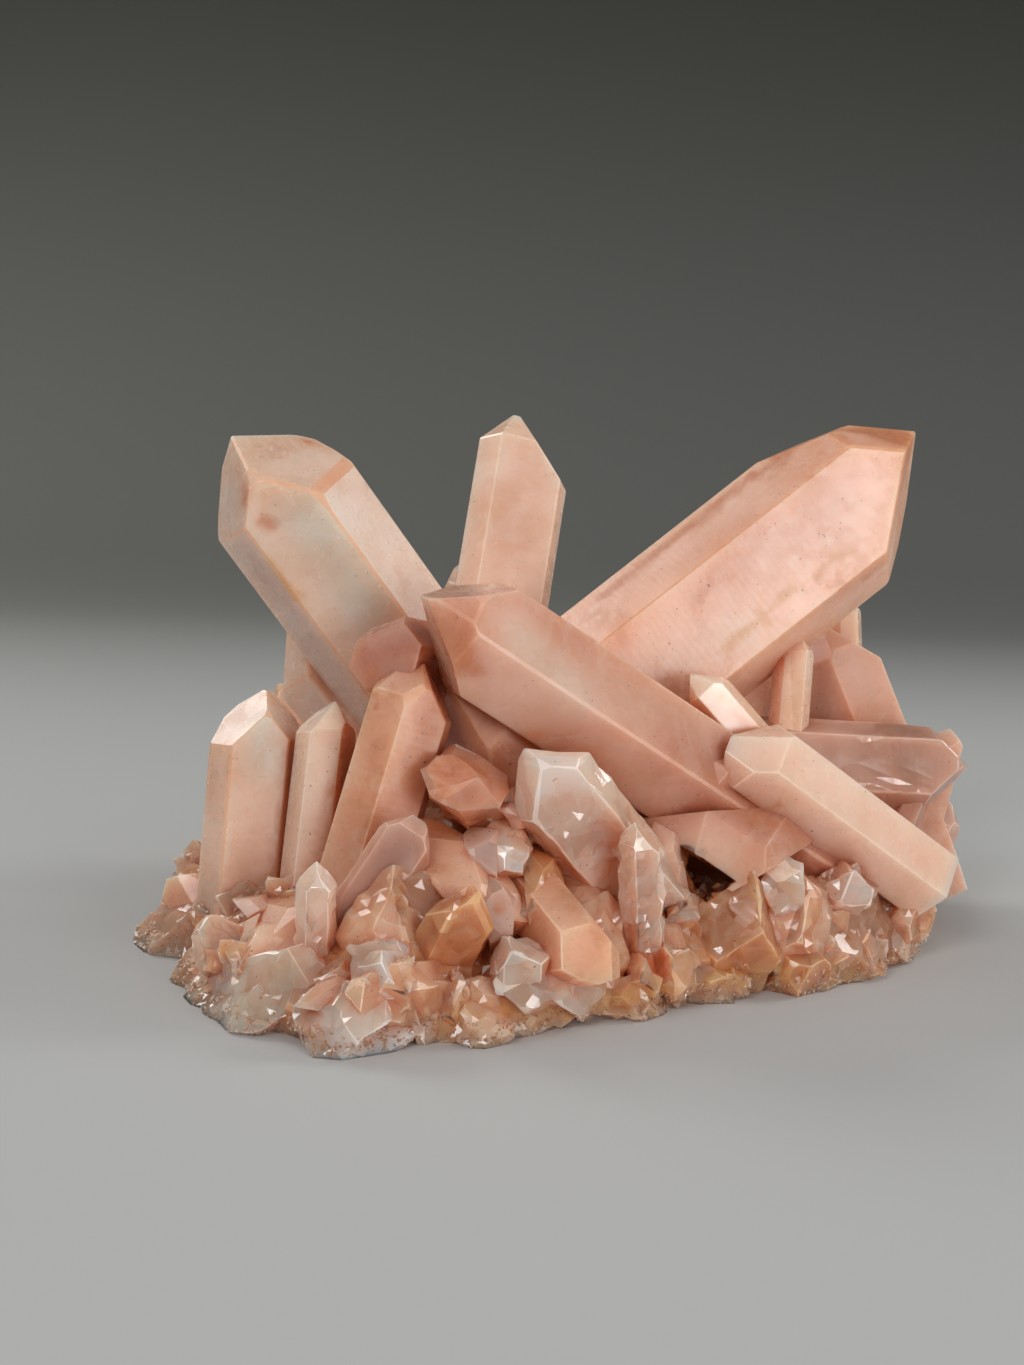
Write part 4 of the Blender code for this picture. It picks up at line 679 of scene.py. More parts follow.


# What iron and haze colour, and where light and shade are painted (pale, and the dark inside the hollows), in the
# layout's millimetres: kind, from, to, reach, strength
stainsAndPaintedLight = [
    ("rust", (27.2, 2.7, 47.0), (25.2, 4.2, 47.7), 4.6, 1.0),
    ("rosy", (10.0, -3.6, 34.0), (20.0, -2.6, 41.0), 5.0, 0.35),
    ("haze", (2.0, -5.0, 24.0), (12.0, -4.2, 29.0), 4.0, 0.3),
    # painted light: paler where light shines through the right giant's lower face, and on the back upright's lit left
    # face
    ("pale", (8.0, -3.0, 24.0), (26.0, 3.0, 37.0), 3.4, 0.9),
    ("pale", (-14.0, 14.0, 24.0), (-12.5, 14.0, 44.0), 2.0, 0.9),
    ("rust", (25.0, 3.0, 40.0), (27.0, 2.0, 45.0), 2.6, 0.5),
    ("rust", (9.0, -14.0, 17.0), (16.0, -12.0, 12.0), 4.4, 0.55),
    ("rosy", (9.0, -14.0, 17.0), (19.0, -10.0, 10.0), 6.0, 1.0),
    ("rust", (-0.6, -0.3, 31.7), (15.3, 3.1, 45.0), 1.3, 0.8),
    ("rust", (15.3, 3.1, 45.0), (24.0, 3.6, 48.0), 1.8, 0.9),
    ("ochre", (27.3, 3.5, 40.5), (21.8, -1.9, 37.4), 0.7, 0.8),
    ("ochre", (21.8, -1.9, 37.4), (8.4, -4.5, 26.1), 0.6, 0.6),
    ("speck", (7.3, -4.1, 32.1), (8.5, -4.1, 33.0), 3.0, 1.0),
    ("speck", (11.5, -3.8, 30.3), (12.5, -3.8, 31.0), 2.6, 1.0),
    ("speck", (19.0, -2.2, 38.2), (20.0, -2.2, 39.0), 3.2, 0.9),
    ("speck", (3.9, -5.0, 27.2), (5.0, -5.0, 28.0), 2.4, 1.0),
    ("speck", (16.5, -3.1, 31.2), (17.5, -3.1, 32.0), 2.4, 1.0),
    ("rosy", (12.1, -3.0, 37.6), (14.0, -2.8, 39.0), 3.6, 0.5),
    ("rust", (-28.4, -0.3, 45.3), (-25.6, -0.8, 44.3), 1.6, 0.8),
    ("ochre", (-34.1, -3.3, 42.5), (-29.6, -1.7, 44.8), 0.8, 0.7),
    ("rust", (-32.3, -6.9, 40.0), (-31.8, -6.9, 41.0), 1.6, 0.7),
    ("rust", (-30.8, -7.2, 37.4), (-30.4, -7.2, 38.2), 1.5, 0.7),
    ("rust", (-25.7, -6.7, 36.2), (-25.2, -6.7, 36.6), 1.4, 0.5),
    ("rust", (-18.9, -2.4, 34.8), (-18.2, -2.4, 35.0), 1.8, 0.6),
    ("ochre", (-30.2, -6.9, 35.2), (-27.4, -6.2, 30.8), 0.7, 0.7),
    ("haze", (-26.5, -6.9, 39.0), (-21.3, -5.9, 31.4), 4.2, 0.8),
    ("rust", (-17.4, -3.5, 31.3), (-14.0, -3.0, 28.0), 2.5, 0.5),
    ("rust", (-12.6, -20.7, 31.0), (-12.5, -20.2, 27.7), 2.2, 1.0),
    ("rust", (-15.0, -19.6, 30.6), (-13.4, -19.8, 27.4), 2.2, 0.9),
    ("rust", (-21.4, -17.4, 29.6), (-18.2, -17.6, 25.4), 2.4, 0.8),
    ("dark", (-20.6, -17.8, 28.6), (-20.2, -17.8, 27.6), 0.8, 0.5),
    ("rosy", (-12.6, -20.7, 31.0), (-12.5, -20.2, 27.7), 2.4, 1.0),
    ("rosy", (-13.7, -19.7, 32.9), (-8.8, -17.2, 33.7), 2.8, 0.8),
    ("rosy", (-8.8, -17.2, 33.7), (-2.9, -16.5, 29.6), 2.4, 0.6),
    ("haze", (-7.8, -19.4, 29.4), (-3.0, -18.4, 25.0), 3.0, 0.4),
    ("rosy", (5.0, -15.0, 20.0), (12.0, -12.0, 15.0), 5.0, 0.7),
    ("rust", (-18.4, -14.7, 27.7), (-20.5, -14.0, 24.5), 2.6, 0.6),
    ("speck", (-14.4, -17.2, 23.5), (-16.3, -18.2, 19.4), 2.4, 1.0),
    ("rust", (-14.4, -17.2, 23.5), (-16.3, -18.2, 19.4), 2.6, 0.7),
    ("rust", (-11.9, -13.8, 22.2), (-6.8, -17.0, 21.4), 2.5, 0.8),
    ("haze", (-29.6, -12.1, 17.9), (-29.8, -11.5, 21.0), 3.0, 0.9),
    ("haze", (-22.6, -13.1, 20.0), (-22.8, -13.5, 17.0), 1.8, 0.5),
    # painted shade with red-brown iron: near black inside the two hollows
    ("dark", (9.2, -15.4, 10.6), (11.2, -17.0, 9.0), 2.2, 1.0),
    ("dark", (4.6, -18.8, 7.6), (6.4, -18.6, 8.0), 0.9, 1.0),
    ("dark", (-12.4, -29.4, 8.8), (-12.7, -30.2, 6.9), 0.6, 0.6),
    ("rust", (-14.0, -29.0, 4.0), (-11.0, -29.6, 11.0), 2.4, 0.7),
    ("dark", (-8.6, -24.2, 14.9), (-7.4, -24.0, 14.6), 0.7, 0.8),
    ("rust", (-9.1, -26.3, 9.5), (-9.0, -27.0, 9.2), 0.9, 1.0),
    ("rust", (-12.9, -19.6, 18.5), (-11.0, -18.5, 17.1), 0.7, 0.9),
    ("rust", (14.3, -14.3, 16.0), (14.8, -14.3, 16.0), 0.8, 1.0),
    ("ochre", (-9.7, -27.8, 10.5), (-9.4, -29.4, 8.0), 1.2, 1.0),
    ("rust", (16.2, -13.9, 20.7), (16.8, -13.9, 20.7), 0.5, 0.8),
    ("ochre", (-17.3, -33.6, 4.9), (-16.6, -32.6, 4.0), 1.0, 0.9),
    ("ochre", (-12.4, -32.0, 1.8), (7.7, -22.4, 2.2), 2.4, 0.8),
    ("ochre", (7.7, -22.4, 2.2), (22.0, -13.0, 1.2), 2.4, 0.8),
    ("rust", (0.6, -27.0, 1.2), (1.6, -26.0, 2.0), 1.6, 1.0),
    ("rust", (-36.0, -4.0, 8.0), (-28.0, -12.0, 9.0), 2.6, 0.5),
]

stainAndPaintedLightTints = {
    "haze": (0.66, 0.62, 0.53),
    "rosy": (0.52, 0.22, 0.16),
    # painted light: the paler colour of lit and glowing faces
    "pale": (0.93, 0.72, 0.58),
    "recessShade": (0.66, 0.36, 0.22),   # painted shade: what a recess multiplies the colour by
}

# Painted shade in recesses, found by rays from each point: how far they reach, how many, and their seed
recess = {
    "reach": 7.0,              # how far neighbours count
    "rays": 14,
    "seed": 3,
}


def nearSegments(places, starts, ends):  # distance of each place to the nearest of some segments
    runs = ends - starts
    lengths = np.maximum(np.einsum("ij,ij->i", runs, runs), 1e-9)
    offset = places[:, None, :] - starts[None, :, :]
    share = np.clip(np.einsum("nij,ij->ni", offset, runs) / lengths, 0.0, 1.0)
    return np.linalg.norm(offset - share[:, :, None] * runs[None, :, :], axis=2).min(axis=1)


def stainAndPaintedLightAt(places, kind):
    total = np.zeros(len(places))
    for name, start, end, reach, strength in stainsAndPaintedLight:
        if name == kind:
            away = nearSegments(places, np.array([start], float), np.array([end], float))
            near = np.clip(1.0 - away / reach, 0.0, 1.0)
            total = np.maximum(total, strength * near * near * (3.0 - 2.0 * near))
    return total


def recesses(mesh, places):  # how much of the sky over each point its neighbours hide, for the painted shade in recesses
    tree = BVHTree.FromPolygons([tuple(place) for place in places],
                                [tuple(polygon.vertices) for polygon in mesh.polygons])
    draw = random.Random(recess["seed"])
    rays = []
    while len(rays) < recess["rays"]:
        ray = Vector((draw.uniform(-1, 1), draw.uniform(-1, 1), draw.uniform(-1, 1)))
        if 0.2 < ray.length < 1.0:
            rays.append(ray.normalized())
    hidden = np.zeros(len(places))
    for number, vert in enumerate(mesh.vertices):
        normal = vert.normal
        start = Vector(places[number]) + normal * 0.08
        blocked = 0.0
        for ray in rays:
            lift = ray + normal * 1.05
            found = tree.ray_cast(start, lift, recess["reach"])
            if found[3] is not None:
                blocked += 1.0 - found[3] / recess["reach"]
        hidden[number] = blocked / len(rays)
    return hidden


def setCorners(mesh, name, values):
    kind = "FLOAT_COLOR" if values.ndim == 2 else "FLOAT"
    layer = mesh.attributes.new(name, kind, "CORNER")
    layer.data.foreach_set("color" if values.ndim == 2 else "value", values.astype(np.float32).ravel())


def paintCluster(mesh, growths):  # colour, clearness, stains, painted light and shade, and edges of each growth, on the corners of its faces
    count = len(mesh.polygons)
    owner = np.zeros(count, np.int32)
    mesh.attributes["growth"].data.foreach_get("value", owner)
    owner = np.where((owner < 0) | (owner >= len(growths)), len(growths), owner)
    worn = np.zeros(count, np.int32)
    mesh.attributes["worn"].data.foreach_get("value", worn)
    normals = np.zeros(count * 3)
    mesh.polygons.foreach_get("normal", normals)
    places = np.array([vert.co for vert in mesh.vertices])
    loops = np.array([loop.vertex_index for loop in mesh.loops])
    corners = places[loops]
    who = np.repeat(owner, 3)
    rows = [(growth.root, growth.tip, finishes[growth.finish]) for growth in growths]
    rows.append((Vector((0, 0, 0)), Vector((0, 0, crust["height"])), finishes["crust"]))

    def perCorner(key):
        return np.array([row[2][key] for row in rows], float)[who]

    roots = np.array([row[0] for row in rows])
    axes = np.array([row[1] - row[0] for row in rows])
    spans = np.linalg.norm(axes, axis=1)
    share = np.einsum("ij,ij->i", corners - roots[who], axes[who]) / spans[who] ** 2
    share = np.clip(share, 0.0, 1.0)
    edge = np.full(len(who), 9.0)
    for number, growth in enumerate(growths):
        mine = np.flatnonzero(who == number)
        if len(mine) and growth.edges:
            starts = np.array([pair[0] for pair in growth.edges])
            ends = np.array([pair[1] for pair in growth.edges])
            edge[mine] = nearSegments(corners[mine], starts, ends)

    def mix(first, second, amount):
        return first + (second - first) * amount[:, None]

    tint = mix(perCorner("foot"), perCorner("tip"), share)
    tint = mix(tint, perCorner("edge"), np.exp(-edge / 1.6) * 0.75)
    keys = np.concatenate([owner[:, None], np.round(normals.reshape(-1, 3) * 3.0).astype(int)], axis=1)
    _, group = np.unique(keys, axis=0, return_inverse=True)
    draw = np.random.default_rng(crust["seed"])
    value = draw.uniform(-1.0, 1.0, group.max() + 1)[group].repeat(3)
    warmth = draw.uniform(-1.0, 1.0, group.max() + 1)[group].repeat(3)
    variety = perCorner("variety")
    tint *= (1.0 + value * variety)[:, None]
    tint *= 1.0 + (warmth * variety)[:, None] * np.array([0.1, -0.35, -0.9])
    tint = mix(tint, np.array(stainAndPaintedLightTints["haze"]), stainAndPaintedLightAt(corners, "haze"))
    # painted light: paler where light shines through or a face is lit
    tint = mix(tint, np.array(stainAndPaintedLightTints["pale"]), stainAndPaintedLightAt(corners, "pale") * 0.8)
    tint = mix(tint, np.array(stainAndPaintedLightTints["rosy"]), stainAndPaintedLightAt(corners, "rosy") * 0.6)
    # painted shade: where neighbours hide the sky the colour turns darker and more orange, and less see-through
    hidden = recesses(mesh, places)
    recessShadeShare = np.clip(hidden * 1.9, 0.0, 1.0)[loops]
    tint *= 1.0 - recessShadeShare[:, None] * (1.0 - np.array(stainAndPaintedLightTints["recessShade"]))
    # worn faces take the rim colour: a rust stain on some finishes, a painted highlight on the others, and less of it
    # under the painted recess shade
    tint = mix(tint, perCorner("rim"), worn.repeat(3) * perCorner("rimShare") * (1.0 - 0.6 * recessShadeShare))
    tint = np.clip(tint, 0.02, 0.97)
    setCorners(mesh, "tint", np.concatenate([tint, np.ones((len(tint), 1))], axis=1))
    marks = np.stack([stainAndPaintedLightAt(corners, kind) for kind in ("rust", "ochre", "dark", "speck")], axis=1)
    setCorners(mesh, "marks", marks)
    # less see-through under the painted recess shade and on worn faces
    setCorners(mesh, "clear", perCorner("clear") * (1.0 - 0.7 * recessShadeShare) * (1.0 - 0.5 * worn.repeat(3)))
    setCorners(mesh, "stain", perCorner("stain"))
    setCorners(mesh, "satin", perCorner("satin"))
    setCorners(mesh, "along", share * spans[who])
    roughen(mesh, loops, perCorner("rough"))


hackle = {
    "cell": 2.1,               # size of the small broken faces
    "tilt": 0.9,               # how much they lean, and how much they stand out or lie back
    "step": 0.35,
}


def roughen(mesh, loops, amounts):  # small broken faces, each of its own lean, on the pieces that are rough
    count = len(mesh.vertices)
    amount = np.full(count, 9.0)
    np.minimum.at(amount, loops, amounts)
    places = np.zeros(count * 3)
    mesh.vertices.foreach_get("co", places)
    normals = np.zeros(count * 3)
    mesh.vertices.foreach_get("normal", normals)
    places = places.reshape(-1, 3)
    shifts = np.zeros(count)
    for number in np.flatnonzero((amount > 0.0) & (places[:, 2] > 0.3)):
        place = Vector(places[number]) / hackle["cell"]
        heart = noise.voronoi(place)[1][0]
        lean = noise.cell_vector(heart * 57.0) - Vector((0.5, 0.5, 0.5))
        shifts[number] = (place - heart).dot(lean) * 2.0 * hackle["tilt"] + lean.x * hackle["step"]
    places += normals.reshape(-1, 3) * (shifts * amount)[:, None]
    places[:, 2] = np.maximum(places[:, 2], 0.0)
    mesh.vertices.foreach_set("co", places.ravel())


# Small crystals and sugar-like grains on the crust: how many, how large and how high up they sit
crumbs = {
    "count": 700,
    "sizes": (0.4, 1.3),
    "stretch": (0.6, 1.4),
    "levels": (0.4, 9.0),
    "sunk": 0.25,
    "from": 0,                 # number of the first growth that bears them
    "templates": 14,
    "seed": 23,
}

sugar = {
    "count": 3600,
    "sizes": (0.14, 0.42),
    "stretch": (0.7, 1.3),
    "levels": (0.1, 2.0),
    "from": 0,
    "sunk": 0.2,
    "templates": 8,
    "seed": 29,
}


def chipTemplates(settings, draw):  # small blocks of flat faces about the origin, each some corners and triangles
    templates = []
    for _ in range(settings["templates"]):
        bm = bmesh.new()
        for _ in range(9):
            corner = Vector((draw.gauss(0, 1), draw.gauss(0, 1), draw.gauss(0, 1))).normalized()
            bm.verts.new(corner * draw.uniform(0.75, 1.0))
        made = bmesh.ops.convex_hull(bm, input=bm.verts)
        loose = {item for key in ("geom_interior", "geom_unused") for item in made[key]}
        bmesh.ops.delete(bm, geom=[item for item in loose if isinstance(item, bmesh.types.BMVert)],
                         context="VERTS")
        bmesh.ops.recalc_face_normals(bm, faces=bm.faces)
        bm.verts.index_update()
        templates.append((np.array([vert.co for vert in bm.verts]),
                          np.array([[vert.index for vert in face.verts] for face in bm.faces])))
        bm.free()
    return templates


def scatterChips(name, cluster, settings, finishNames):
    draw = random.Random(settings["seed"])
    templates = chipTemplates(settings, draw)
    mesh = cluster.data
    grounds = []
    sizes = []
    owners = mesh.attributes["growth"].data
    for polygon in mesh.polygons:
        onCrust = owners[polygon.index].value >= settings["from"]
        if onCrust and settings["levels"][0] < polygon.center.z < settings["levels"][1] and polygon.normal.z > -0.9:
            grounds.append(polygon)
            sizes.append(polygon.area)
    picked = draw.choices(grounds, weights=sizes, k=settings["count"])
    corners = []
    triangles = []
    tints = []
    clears = []
    start = 0
    for polygon in picked:
        places, faces = draw.choice(templates)
        size = draw.uniform(*settings["sizes"]) * draw.uniform(0.6, 1.0)
        stretch = draw.uniform(*settings["stretch"])
        lean = Vector((draw.uniform(-0.6, 0.6), draw.uniform(-0.6, 0.6), draw.uniform(-0.6, 0.6)))
        heading = (polygon.normal + lean).normalized()
        turn = heading.to_track_quat("Z", "Y").to_matrix() @ Matrix.Rotation(draw.uniform(0.0, 6.28), 3, "Z")
        scaled = places * np.array([size, size * draw.uniform(0.5, 1.0), size * stretch])
        share = sorted((draw.random(), draw.random()))
        spot = [mesh.vertices[index].co for index in polygon.vertices]
        spot = spot[0] * share[0] + spot[1] * (share[1] - share[0]) + spot[2] * (1.0 - share[1])
        moved = scaled @ np.array(turn).T + np.array(spot - polygon.normal * size * settings["sunk"])
        moved[:, 2] = np.maximum(moved[:, 2], 0.01)
        corners.append(moved)
        triangles.append(faces + start)
        start += len(places)
        finish = finishes[draw.choice(finishNames)]
        depth = min(max(spot.z / 9.0, 0.0), 1.0) * 0.6 + draw.random() * 0.4
        tint = [finish["foot"][axis] + (finish["tip"][axis] - finish["foot"][axis]) * depth for axis in range(3)]
        gain = draw.uniform(0.85, 1.12)
        tints += [[min(value * gain, 0.95) for value in tint] + [1.0]] * len(faces) * 3
        clears += [finish["clear"] * draw.uniform(0.6, 1.4)] * len(faces) * 3
    chips = bpy.data.meshes.new(name)
    chips.from_pydata(np.concatenate(corners).tolist(), [], np.concatenate(triangles).tolist())
    setCorners(chips, "tint", np.array(tints))
    setCorners(chips, "clear", np.array(clears))
    setCorners(chips, "stain", np.full(len(clears), 0.6))
    setCorners(chips, "satin", np.full(len(clears), 0.12))
    made = bpy.data.objects.new(name, chips)
    bpy.context.scene.collection.objects.link(made)
    return made


class Wire:  # a shader socket that adds, multiplies and mixes as plain values do
    def __init__(self, tree, socket=None):
        self.tree = tree
        self.socket = socket

    def add(self, kind, settings, sockets, output=0):
        node = self.tree.nodes.new("ShaderNode" + kind)
        for name, value in settings.items():
            if name == "stops":
                while len(node.color_ramp.elements) < len(value):
                    node.color_ramp.elements.new(0.5)
                for stop, (place, colour) in zip(node.color_ramp.elements, value):
                    stop.position = place
                    stop.color = (*colour, 1.0)
            else:
                setattr(node, name, value)
        for key, value in sockets.items():
            if isinstance(value, Wire):
                self.tree.links.new(value.socket, node.inputs[key])
            else:
                node.inputs[key].default_value = value
        return Wire(self.tree, node.outputs[output]) if node.outputs else None

    def many(self):
        return self.socket.type in ("VECTOR", "RGBA")

    def sum(self, operation, first, second):
        if any(isinstance(side, Wire) and side.many() for side in (first, second)):
            sides = [side if isinstance(side, Wire) or hasattr(side, "__len__") else (side,) * 3
                     for side in (first, second)]
            return self.add("VectorMath", {"operation": operation}, {0: sides[0], 1: sides[1]})
        return self.add("Math", {"operation": operation}, {0: first, 1: second})

    def __add__(self, other):
        return self.sum("ADD", self, other)

    def __radd__(self, other):
        return self.sum("ADD", other, self)

    def __sub__(self, other):
        return self.sum("SUBTRACT", self, other)

    def __rsub__(self, other):
        return self.sum("SUBTRACT", other, self)

    def __mul__(self, other):
        return self.sum("MULTIPLY", self, other)

    def __rmul__(self, other):
        return self.sum("MULTIPLY", other, self)

    def __pow__(self, other):
        return self.sum("POWER", self, other)

    def ramp(self, low, high, bottom=0.0, top=1.0):  # a smooth step from low to high
        return self.add("MapRange", {"interpolation_type": "SMOOTHSTEP"},
                        {0: self, 1: low, 2: high, 3: bottom, 4: top})

    def blend(self, first, second):  # self is the share of the second colour
        return self.add("Mix", {"data_type": "RGBA"}, {0: self, 6: first, 7: second}, 2)

    def lift(self):  # the pale tint that clear quartz takes from the colour of the milky part
        return self.add("Gamma", {}, {"Color": self, "Gamma": 0.35})

    def noise(self, scale, detail=3.0, rough=0.55, twist=0.0):
        return self.add("TexNoise", {}, {"Vector": self, "Scale": scale, "Detail": detail, "Roughness": rough,
                                         "Distortion": twist})


quartz = {
    "ior": 1.544,
    "milkyRadius": (1.0, 0.80, 0.68),      # how far each colour travels in the milky part
    "milkyDepth": 0.005,
    "absorption": (0.985, 0.78, 0.64),
    "absorptionDensity": 90.0,             # per metre
    "frost": (0.95, 0.74, 0.60),
    "rust": (0.56, 0.20, 0.085),
    "ochre": (0.66, 0.33, 0.12),
    # near black, for iron spots and for the painted shade inside the hollows
    "dark": (0.12, 0.022, 0.012),
    "speck": (0.10, 0.035, 0.02),
}


def quartzMaterial(name):
    material = bpy.data.materials.new(name)
    material.use_nodes = True
    tree = material.node_tree
    tree.nodes.clear()
    start = Wire(tree)
    place = start.add("TexCoord", {}, {}, 3)
    tint = start.add("Attribute", {"attribute_name": "tint"}, {}, 0)
    marks = start.add("Attribute", {"attribute_name": "marks"}, {}, 0)
    clear = start.add("Attribute", {"attribute_name": "clear"}, {}, 2)
    stain = start.add("Attribute", {"attribute_name": "stain"}, {}, 2)
    satin = start.add("Attribute", {"attribute_name": "satin"}, {}, 2)
    along = start.add("Attribute", {"attribute_name": "along"}, {}, 2)
    rustMark = start.add("SeparateColor", {}, {0: marks}, 0)
    ochreMark = start.add("SeparateColor", {}, {0: marks}, 1)
    darkMark = start.add("SeparateColor", {}, {0: marks}, 2)
    speckMark = start.add("Attribute", {"attribute_name": "marks"}, {}, 3)

    clouds = place.noise(110.0, 2.0, 0.5)
    fine = place.noise(420.0, 3.0, 0.65)
    specks = place.noise(4200.0, 0.0, 0.5)

    colour = clouds.ramp(0.35, 0.65).blend(tint, tint * (0.98, 0.86, 0.77))
    veils = start.add("Math", {"operation": "ABSOLUTE"}, {0: place.noise(150.0, 2.0, 0.6, 0.5) - 0.5})
    colour = (veils.ramp(0.0, 0.05, 1.0, 0.0) * clouds.ramp(0.42, 0.62) * 0.18).blend(colour, colour.lift())
    cracked = clear.ramp(0.16, 0.42)
    warped = place + (fine - 0.5) * 0.0016
    cells = start.add("TexVoronoi", {}, {"Vector": warped, "Scale": 330.0}, 1)
    shade = start.add("SeparateColor", {}, {0: cells}, 0)
    colour = (cracked * shade.ramp(0.3, 1.0) * 0.5).blend(colour, colour * (0.80, 0.66, 0.56))
    faint = stain * clouds.ramp(0.48, 0.62) * fine.ramp(0.50, 0.62) * 0.5
    colour = faint.blend(colour, quartz["rust"] + (1.0,))
    rustShare = (rustMark * 1.1 + (fine - 0.5) * 1.2 * rustMark.ramp(0.0, 0.3)).ramp(0.1, 0.95) * 0.8
    colour = rustShare.blend(colour, quartz["rust"] + (1.0,))
    ochreShare = (ochreMark * 1.2 + (fine - 0.5) * 1.4 * ochreMark.ramp(0.0, 0.3)).ramp(0.15, 0.95) * 0.7
    colour = ochreShare.blend(colour, quartz["ochre"] + (1.0,))
    # iron spots, and painted shade in the hollows
    darkShare = (darkMark * 1.4 + (fine - 0.5) * 0.8 * darkMark.ramp(0.0, 0.3)).ramp(0.25, 0.8)
    colour = darkShare.blend(colour, quartz["dark"] + (1.0,))
    speckShare = (specks + speckMark * 0.09).ramp(0.83, 0.87)
    colour = (speckShare * 0.8).blend(colour, quartz["speck"] + (1.0,))

    roughness = satin + fine.ramp(0.3, 0.7, -0.04, 0.08)
    lines = start.add("Math", {"operation": "SINE"}, {0: along * 9.0 + fine * 8.0})
    relief = fine * 0.6 + lines * 0.05
    bump = start.add("Bump", {}, {"Strength": 0.12, "Distance": 0.0002, "Height": relief})

    milky = start.add("BsdfPrincipled", {}, {
        "Base Color": colour, "Roughness": roughness, "IOR": quartz["ior"], "Subsurface Weight": 1.0,
        "Subsurface Radius": quartz["milkyRadius"], "Subsurface Scale": quartz["milkyDepth"], "Normal": bump})
    glass = start.add("BsdfPrincipled", {}, {
        "Base Color": colour.lift(), "Roughness": roughness * 0.8, "IOR": quartz["ior"],
        "Transmission Weight": 1.0, "Normal": bump})
    share = (clear + (clouds - 0.5) * 0.5) * (1.0 - darkShare)
    outside = start.add("MixShader", {}, {0: share.ramp(0.0, 1.0), 1: milky, 2: glass})
    frosted = start.add("BsdfTranslucent", {}, {"Color": quartz["frost"] + (1.0,), "Normal": bump})
    inside = start.add("MixShader", {}, {0: 0.5, 1: glass, 2: frosted})
    behind = start.add("NewGeometry", {}, {}, 6)
    surface = start.add("MixShader", {}, {0: behind, 1: outside, 2: inside})
    volume = start.add("VolumeAbsorption", {}, {
        "Color": quartz["absorption"] + (1.0,), "Density": quartz["absorptionDensity"]})
    start.add("OutputMaterial", {}, {"Surface": surface, "Volume": volume})
    return material


def showOnly(piece, material):
    piece.data.materials.clear()
    piece.data.materials.append(material)
    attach(piece, "root")


def toFrame(mesh, shift):
    places = np.zeros(len(mesh.vertices) * 3)
    mesh.vertices.foreach_get("co", places)
    places = (places.reshape(-1, 3) + np.array(shift)) * mm
    mesh.vertices.foreach_set("co", places.ravel())


shift = planShift(mainGrowths)
print("plan shift", tuple(round(value, 3) for value in shift))
cluster, growths = buildCluster()
print("cluster:", len(cluster.data.polygons), "triangles")
paintCluster(cluster.data, growths)
print("cluster painted")
crumbs["from"] = len(growths) - crust["grainCount"]
crumbHeap = scatterChips("drusyCrumbs", cluster, crumbs, ("druse", "clear", "amber", "druse"))
sugarRim = scatterChips("sugarGrains", cluster, sugar, ("crust", "amber", "druse"))
hematoid = quartzMaterial("hematoidQuartz")
for piece in (cluster, crumbHeap, sugarRim):
    toFrame(piece.data, shift)
    showOnly(piece, hematoid)
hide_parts("cluster")
print("crumbs:", len(crumbHeap.data.polygons), "grains:", len(sugarRim.data.polygons), "triangles")


stage = {
    "halfWidth": 0.9,
    "front": -0.7,                    # where the floor begins, towards the camera and behind it
    "bendStart": 0.28,                # where the floor starts to curve up
    "bendRadius": 0.25,
    "wallTop": 0.9,
    "colour": (0.50, 0.51, 0.50, 1.0),
    "wallColour": (0.045, 0.046, 0.038, 1.0),
    "fade": (0.05, 0.36),             # where the floor's colour starts and ends its turn to the wall's
    "sky": (0.19, 0.44),              # strength of the soft light from the horizon and from above
}

camera = {
    "eye": (-8.44, -162.23, 46.03),   # in the layout of the points
    "pitch": 7.868,
    "roll": 1.7385,
    "focalPixels": 1765.2,            # for an image 1365 pixels tall
    "imageHeight": 1365,
    "sensor": 36.0,
}


def sweepMaterial():  # pale floor that turns to plain grey as it rises
    material = bpy.data.materials.new("sweep")
    material.use_nodes = True
    tree = material.node_tree
    tree.nodes.clear()
    start = Wire(tree)
    place = start.add("TexCoord", {}, {}, 3)
    height = start.add("SeparateXYZ", {}, {0: place}, 2)
    depth = start.add("SeparateXYZ", {}, {0: place}, 1)
    share = depth.ramp(*stage["fade"]) * 0.8 + height.ramp(0.0, 0.3) * 0.2
    colour = share.blend(stage["colour"], stage["wallColour"])
    surface = start.add("BsdfPrincipled", {}, {
        "Base Color": colour, "Roughness": 0.75, "Specular IOR Level": 0.12})
    start.add("OutputMaterial", {}, {"Surface": surface})
    return material


def buildStage():  # one sheet: a flat floor, a quarter bend and a wall
    profile = [(stage["front"], 0.0), (stage["bendStart"], 0.0)]
    steps = 24
    for step in range(1, steps + 1):
        turn = math.pi / 2.0 * step / steps
        profile.append((stage["bendStart"] + stage["bendRadius"] * math.sin(turn),
                        stage["bendRadius"] * (1.0 - math.cos(turn))))
    profile.append((stage["bendStart"] + stage["bendRadius"], stage["wallTop"]))
    corners = [(side * stage["halfWidth"], depth, height) for depth, height in profile for side in (-1, 1)]
    faces = [(2 * row, 2 * row + 1, 2 * row + 3, 2 * row + 2) for row in range(len(profile) - 1)]
    mesh = bpy.data.meshes.new("sweep")
    mesh.from_pydata(corners, [], faces)
    mesh.polygons.foreach_set("use_smooth", [True] * len(mesh.polygons))
    made = bpy.data.objects.new("sweep", mesh)
    mesh.materials.append(sweepMaterial())
    bpy.context.scene.collection.objects.link(made)


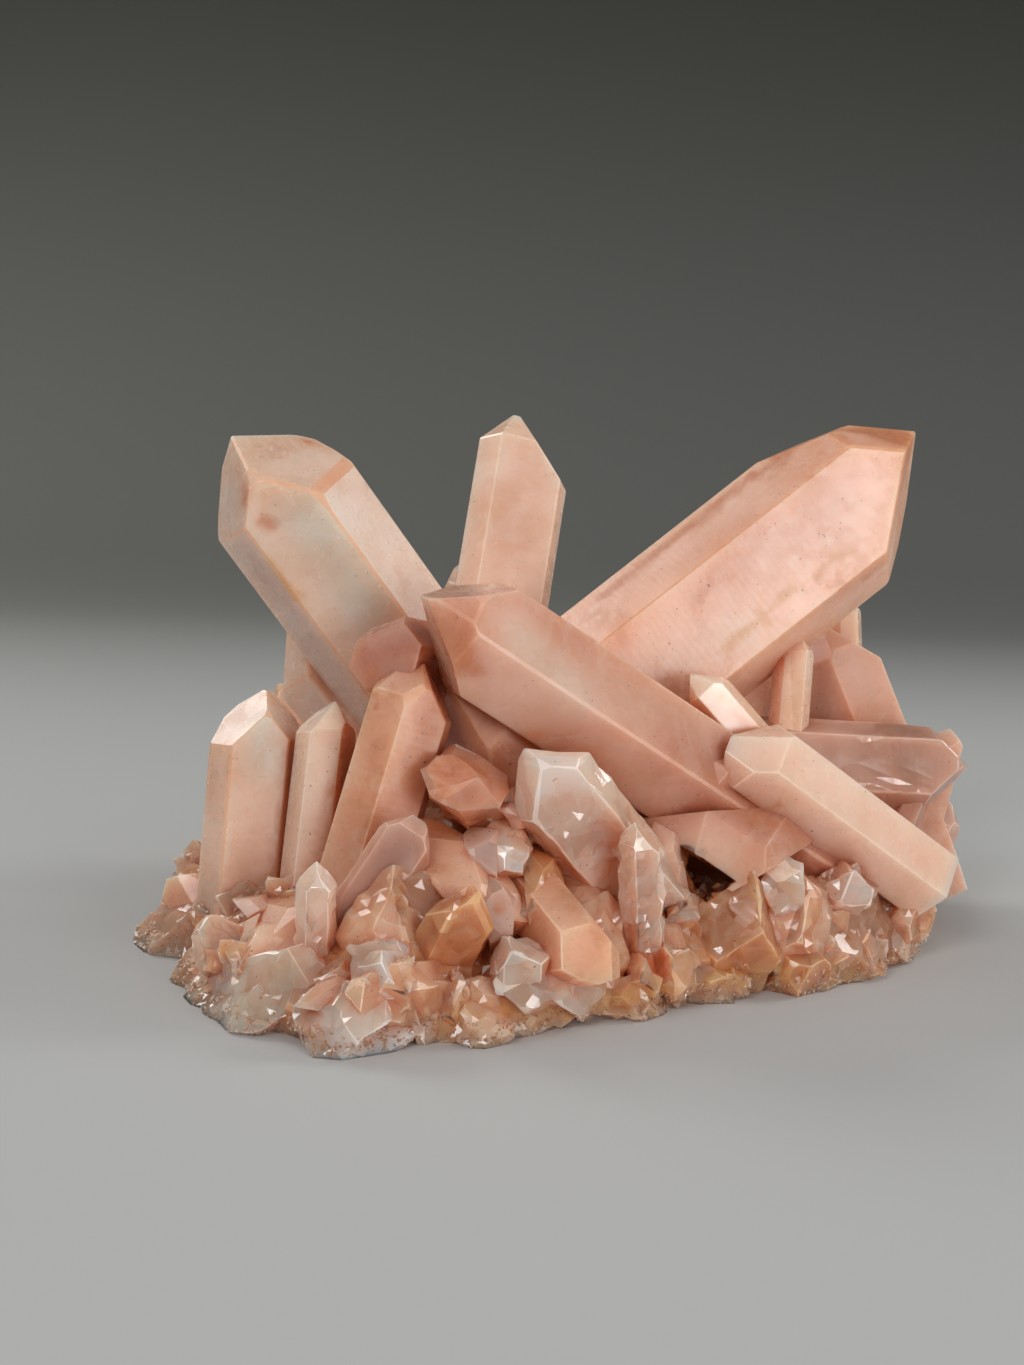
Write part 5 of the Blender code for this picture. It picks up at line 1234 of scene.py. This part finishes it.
def buildCamera():
    lens = bpy.data.cameras.new("camera")
    lens.sensor_width = camera["sensor"]
    lens.lens = camera["focalPixels"] * camera["sensor"] / camera["imageHeight"]
    lens.clip_start = 0.005
    holder = bpy.data.objects.new("camera", lens)
    bpy.context.scene.collection.objects.link(holder)
    pitch = math.radians(camera["pitch"])
    roll = math.radians(camera["roll"])
    ahead = Vector((0.0, math.cos(pitch), -math.sin(pitch)))
    above = Vector((0.0, math.sin(pitch), math.cos(pitch)))
    aside = Vector((1.0, 0.0, 0.0))
    right = aside * math.cos(roll) + above * math.sin(roll)
    up = above * math.cos(roll) - aside * math.sin(roll)
    turned = Matrix((right, up, -ahead)).transposed().to_4x4()
    turned.translation = (Vector(camera["eye"]) + shift) * mm
    holder.matrix_world = turned
    bpy.context.scene.camera = holder


def areaLight(name, place, target, size, power, colour):
    light = bpy.data.lights.new(name, "AREA")
    light.shape = "DISK"
    light.size = size
    light.energy = power
    light.color = colour
    made = bpy.data.objects.new(name, light)
    bpy.context.scene.collection.objects.link(made)
    made.location = place
    made.rotation_euler = (Vector(target) - Vector(place)).to_track_quat("-Z", "Y").to_euler()


def buildLight():
    world = bpy.data.worlds.new("studio")
    world.use_nodes = True
    tree = world.node_tree
    tree.nodes.clear()
    start = Wire(tree)
    heading = start.add("TexCoord", {}, {}, 0)
    rise = start.add("SeparateXYZ", {}, {0: heading}, 2)
    sky = start.add("Background", {}, {"Color": (0.98, 0.98, 1.0, 1.0), "Strength": rise.ramp(-0.1, 0.9, *stage["sky"])})
    start.add("OutputWorld", {}, {"Surface": sky})
    bpy.context.scene.world = world
    target = (0.0, 0.0, 0.02)
    areaLight("key", (-0.36, 0.30, 0.36), target, 0.24, 1.05, (1.0, 0.96, 0.92))
    areaLight("fill", (-0.20, -0.45, 0.30), target, 0.16, 0.85, (0.97, 0.98, 1.0))
    areaLight("low", (0.26, -0.42, 0.05), (0.01, 0.0, 0.03), 0.20, 1.2, (1.0, 0.98, 0.97))
    areaLight("rim", (0.40, 0.10, 0.26), target, 0.16, 0.6, (1.0, 0.98, 0.96))


buildStage()
buildCamera()
buildLight()
bpy.context.scene.view_settings.view_transform = "Standard"
print("stage, camera and light set")
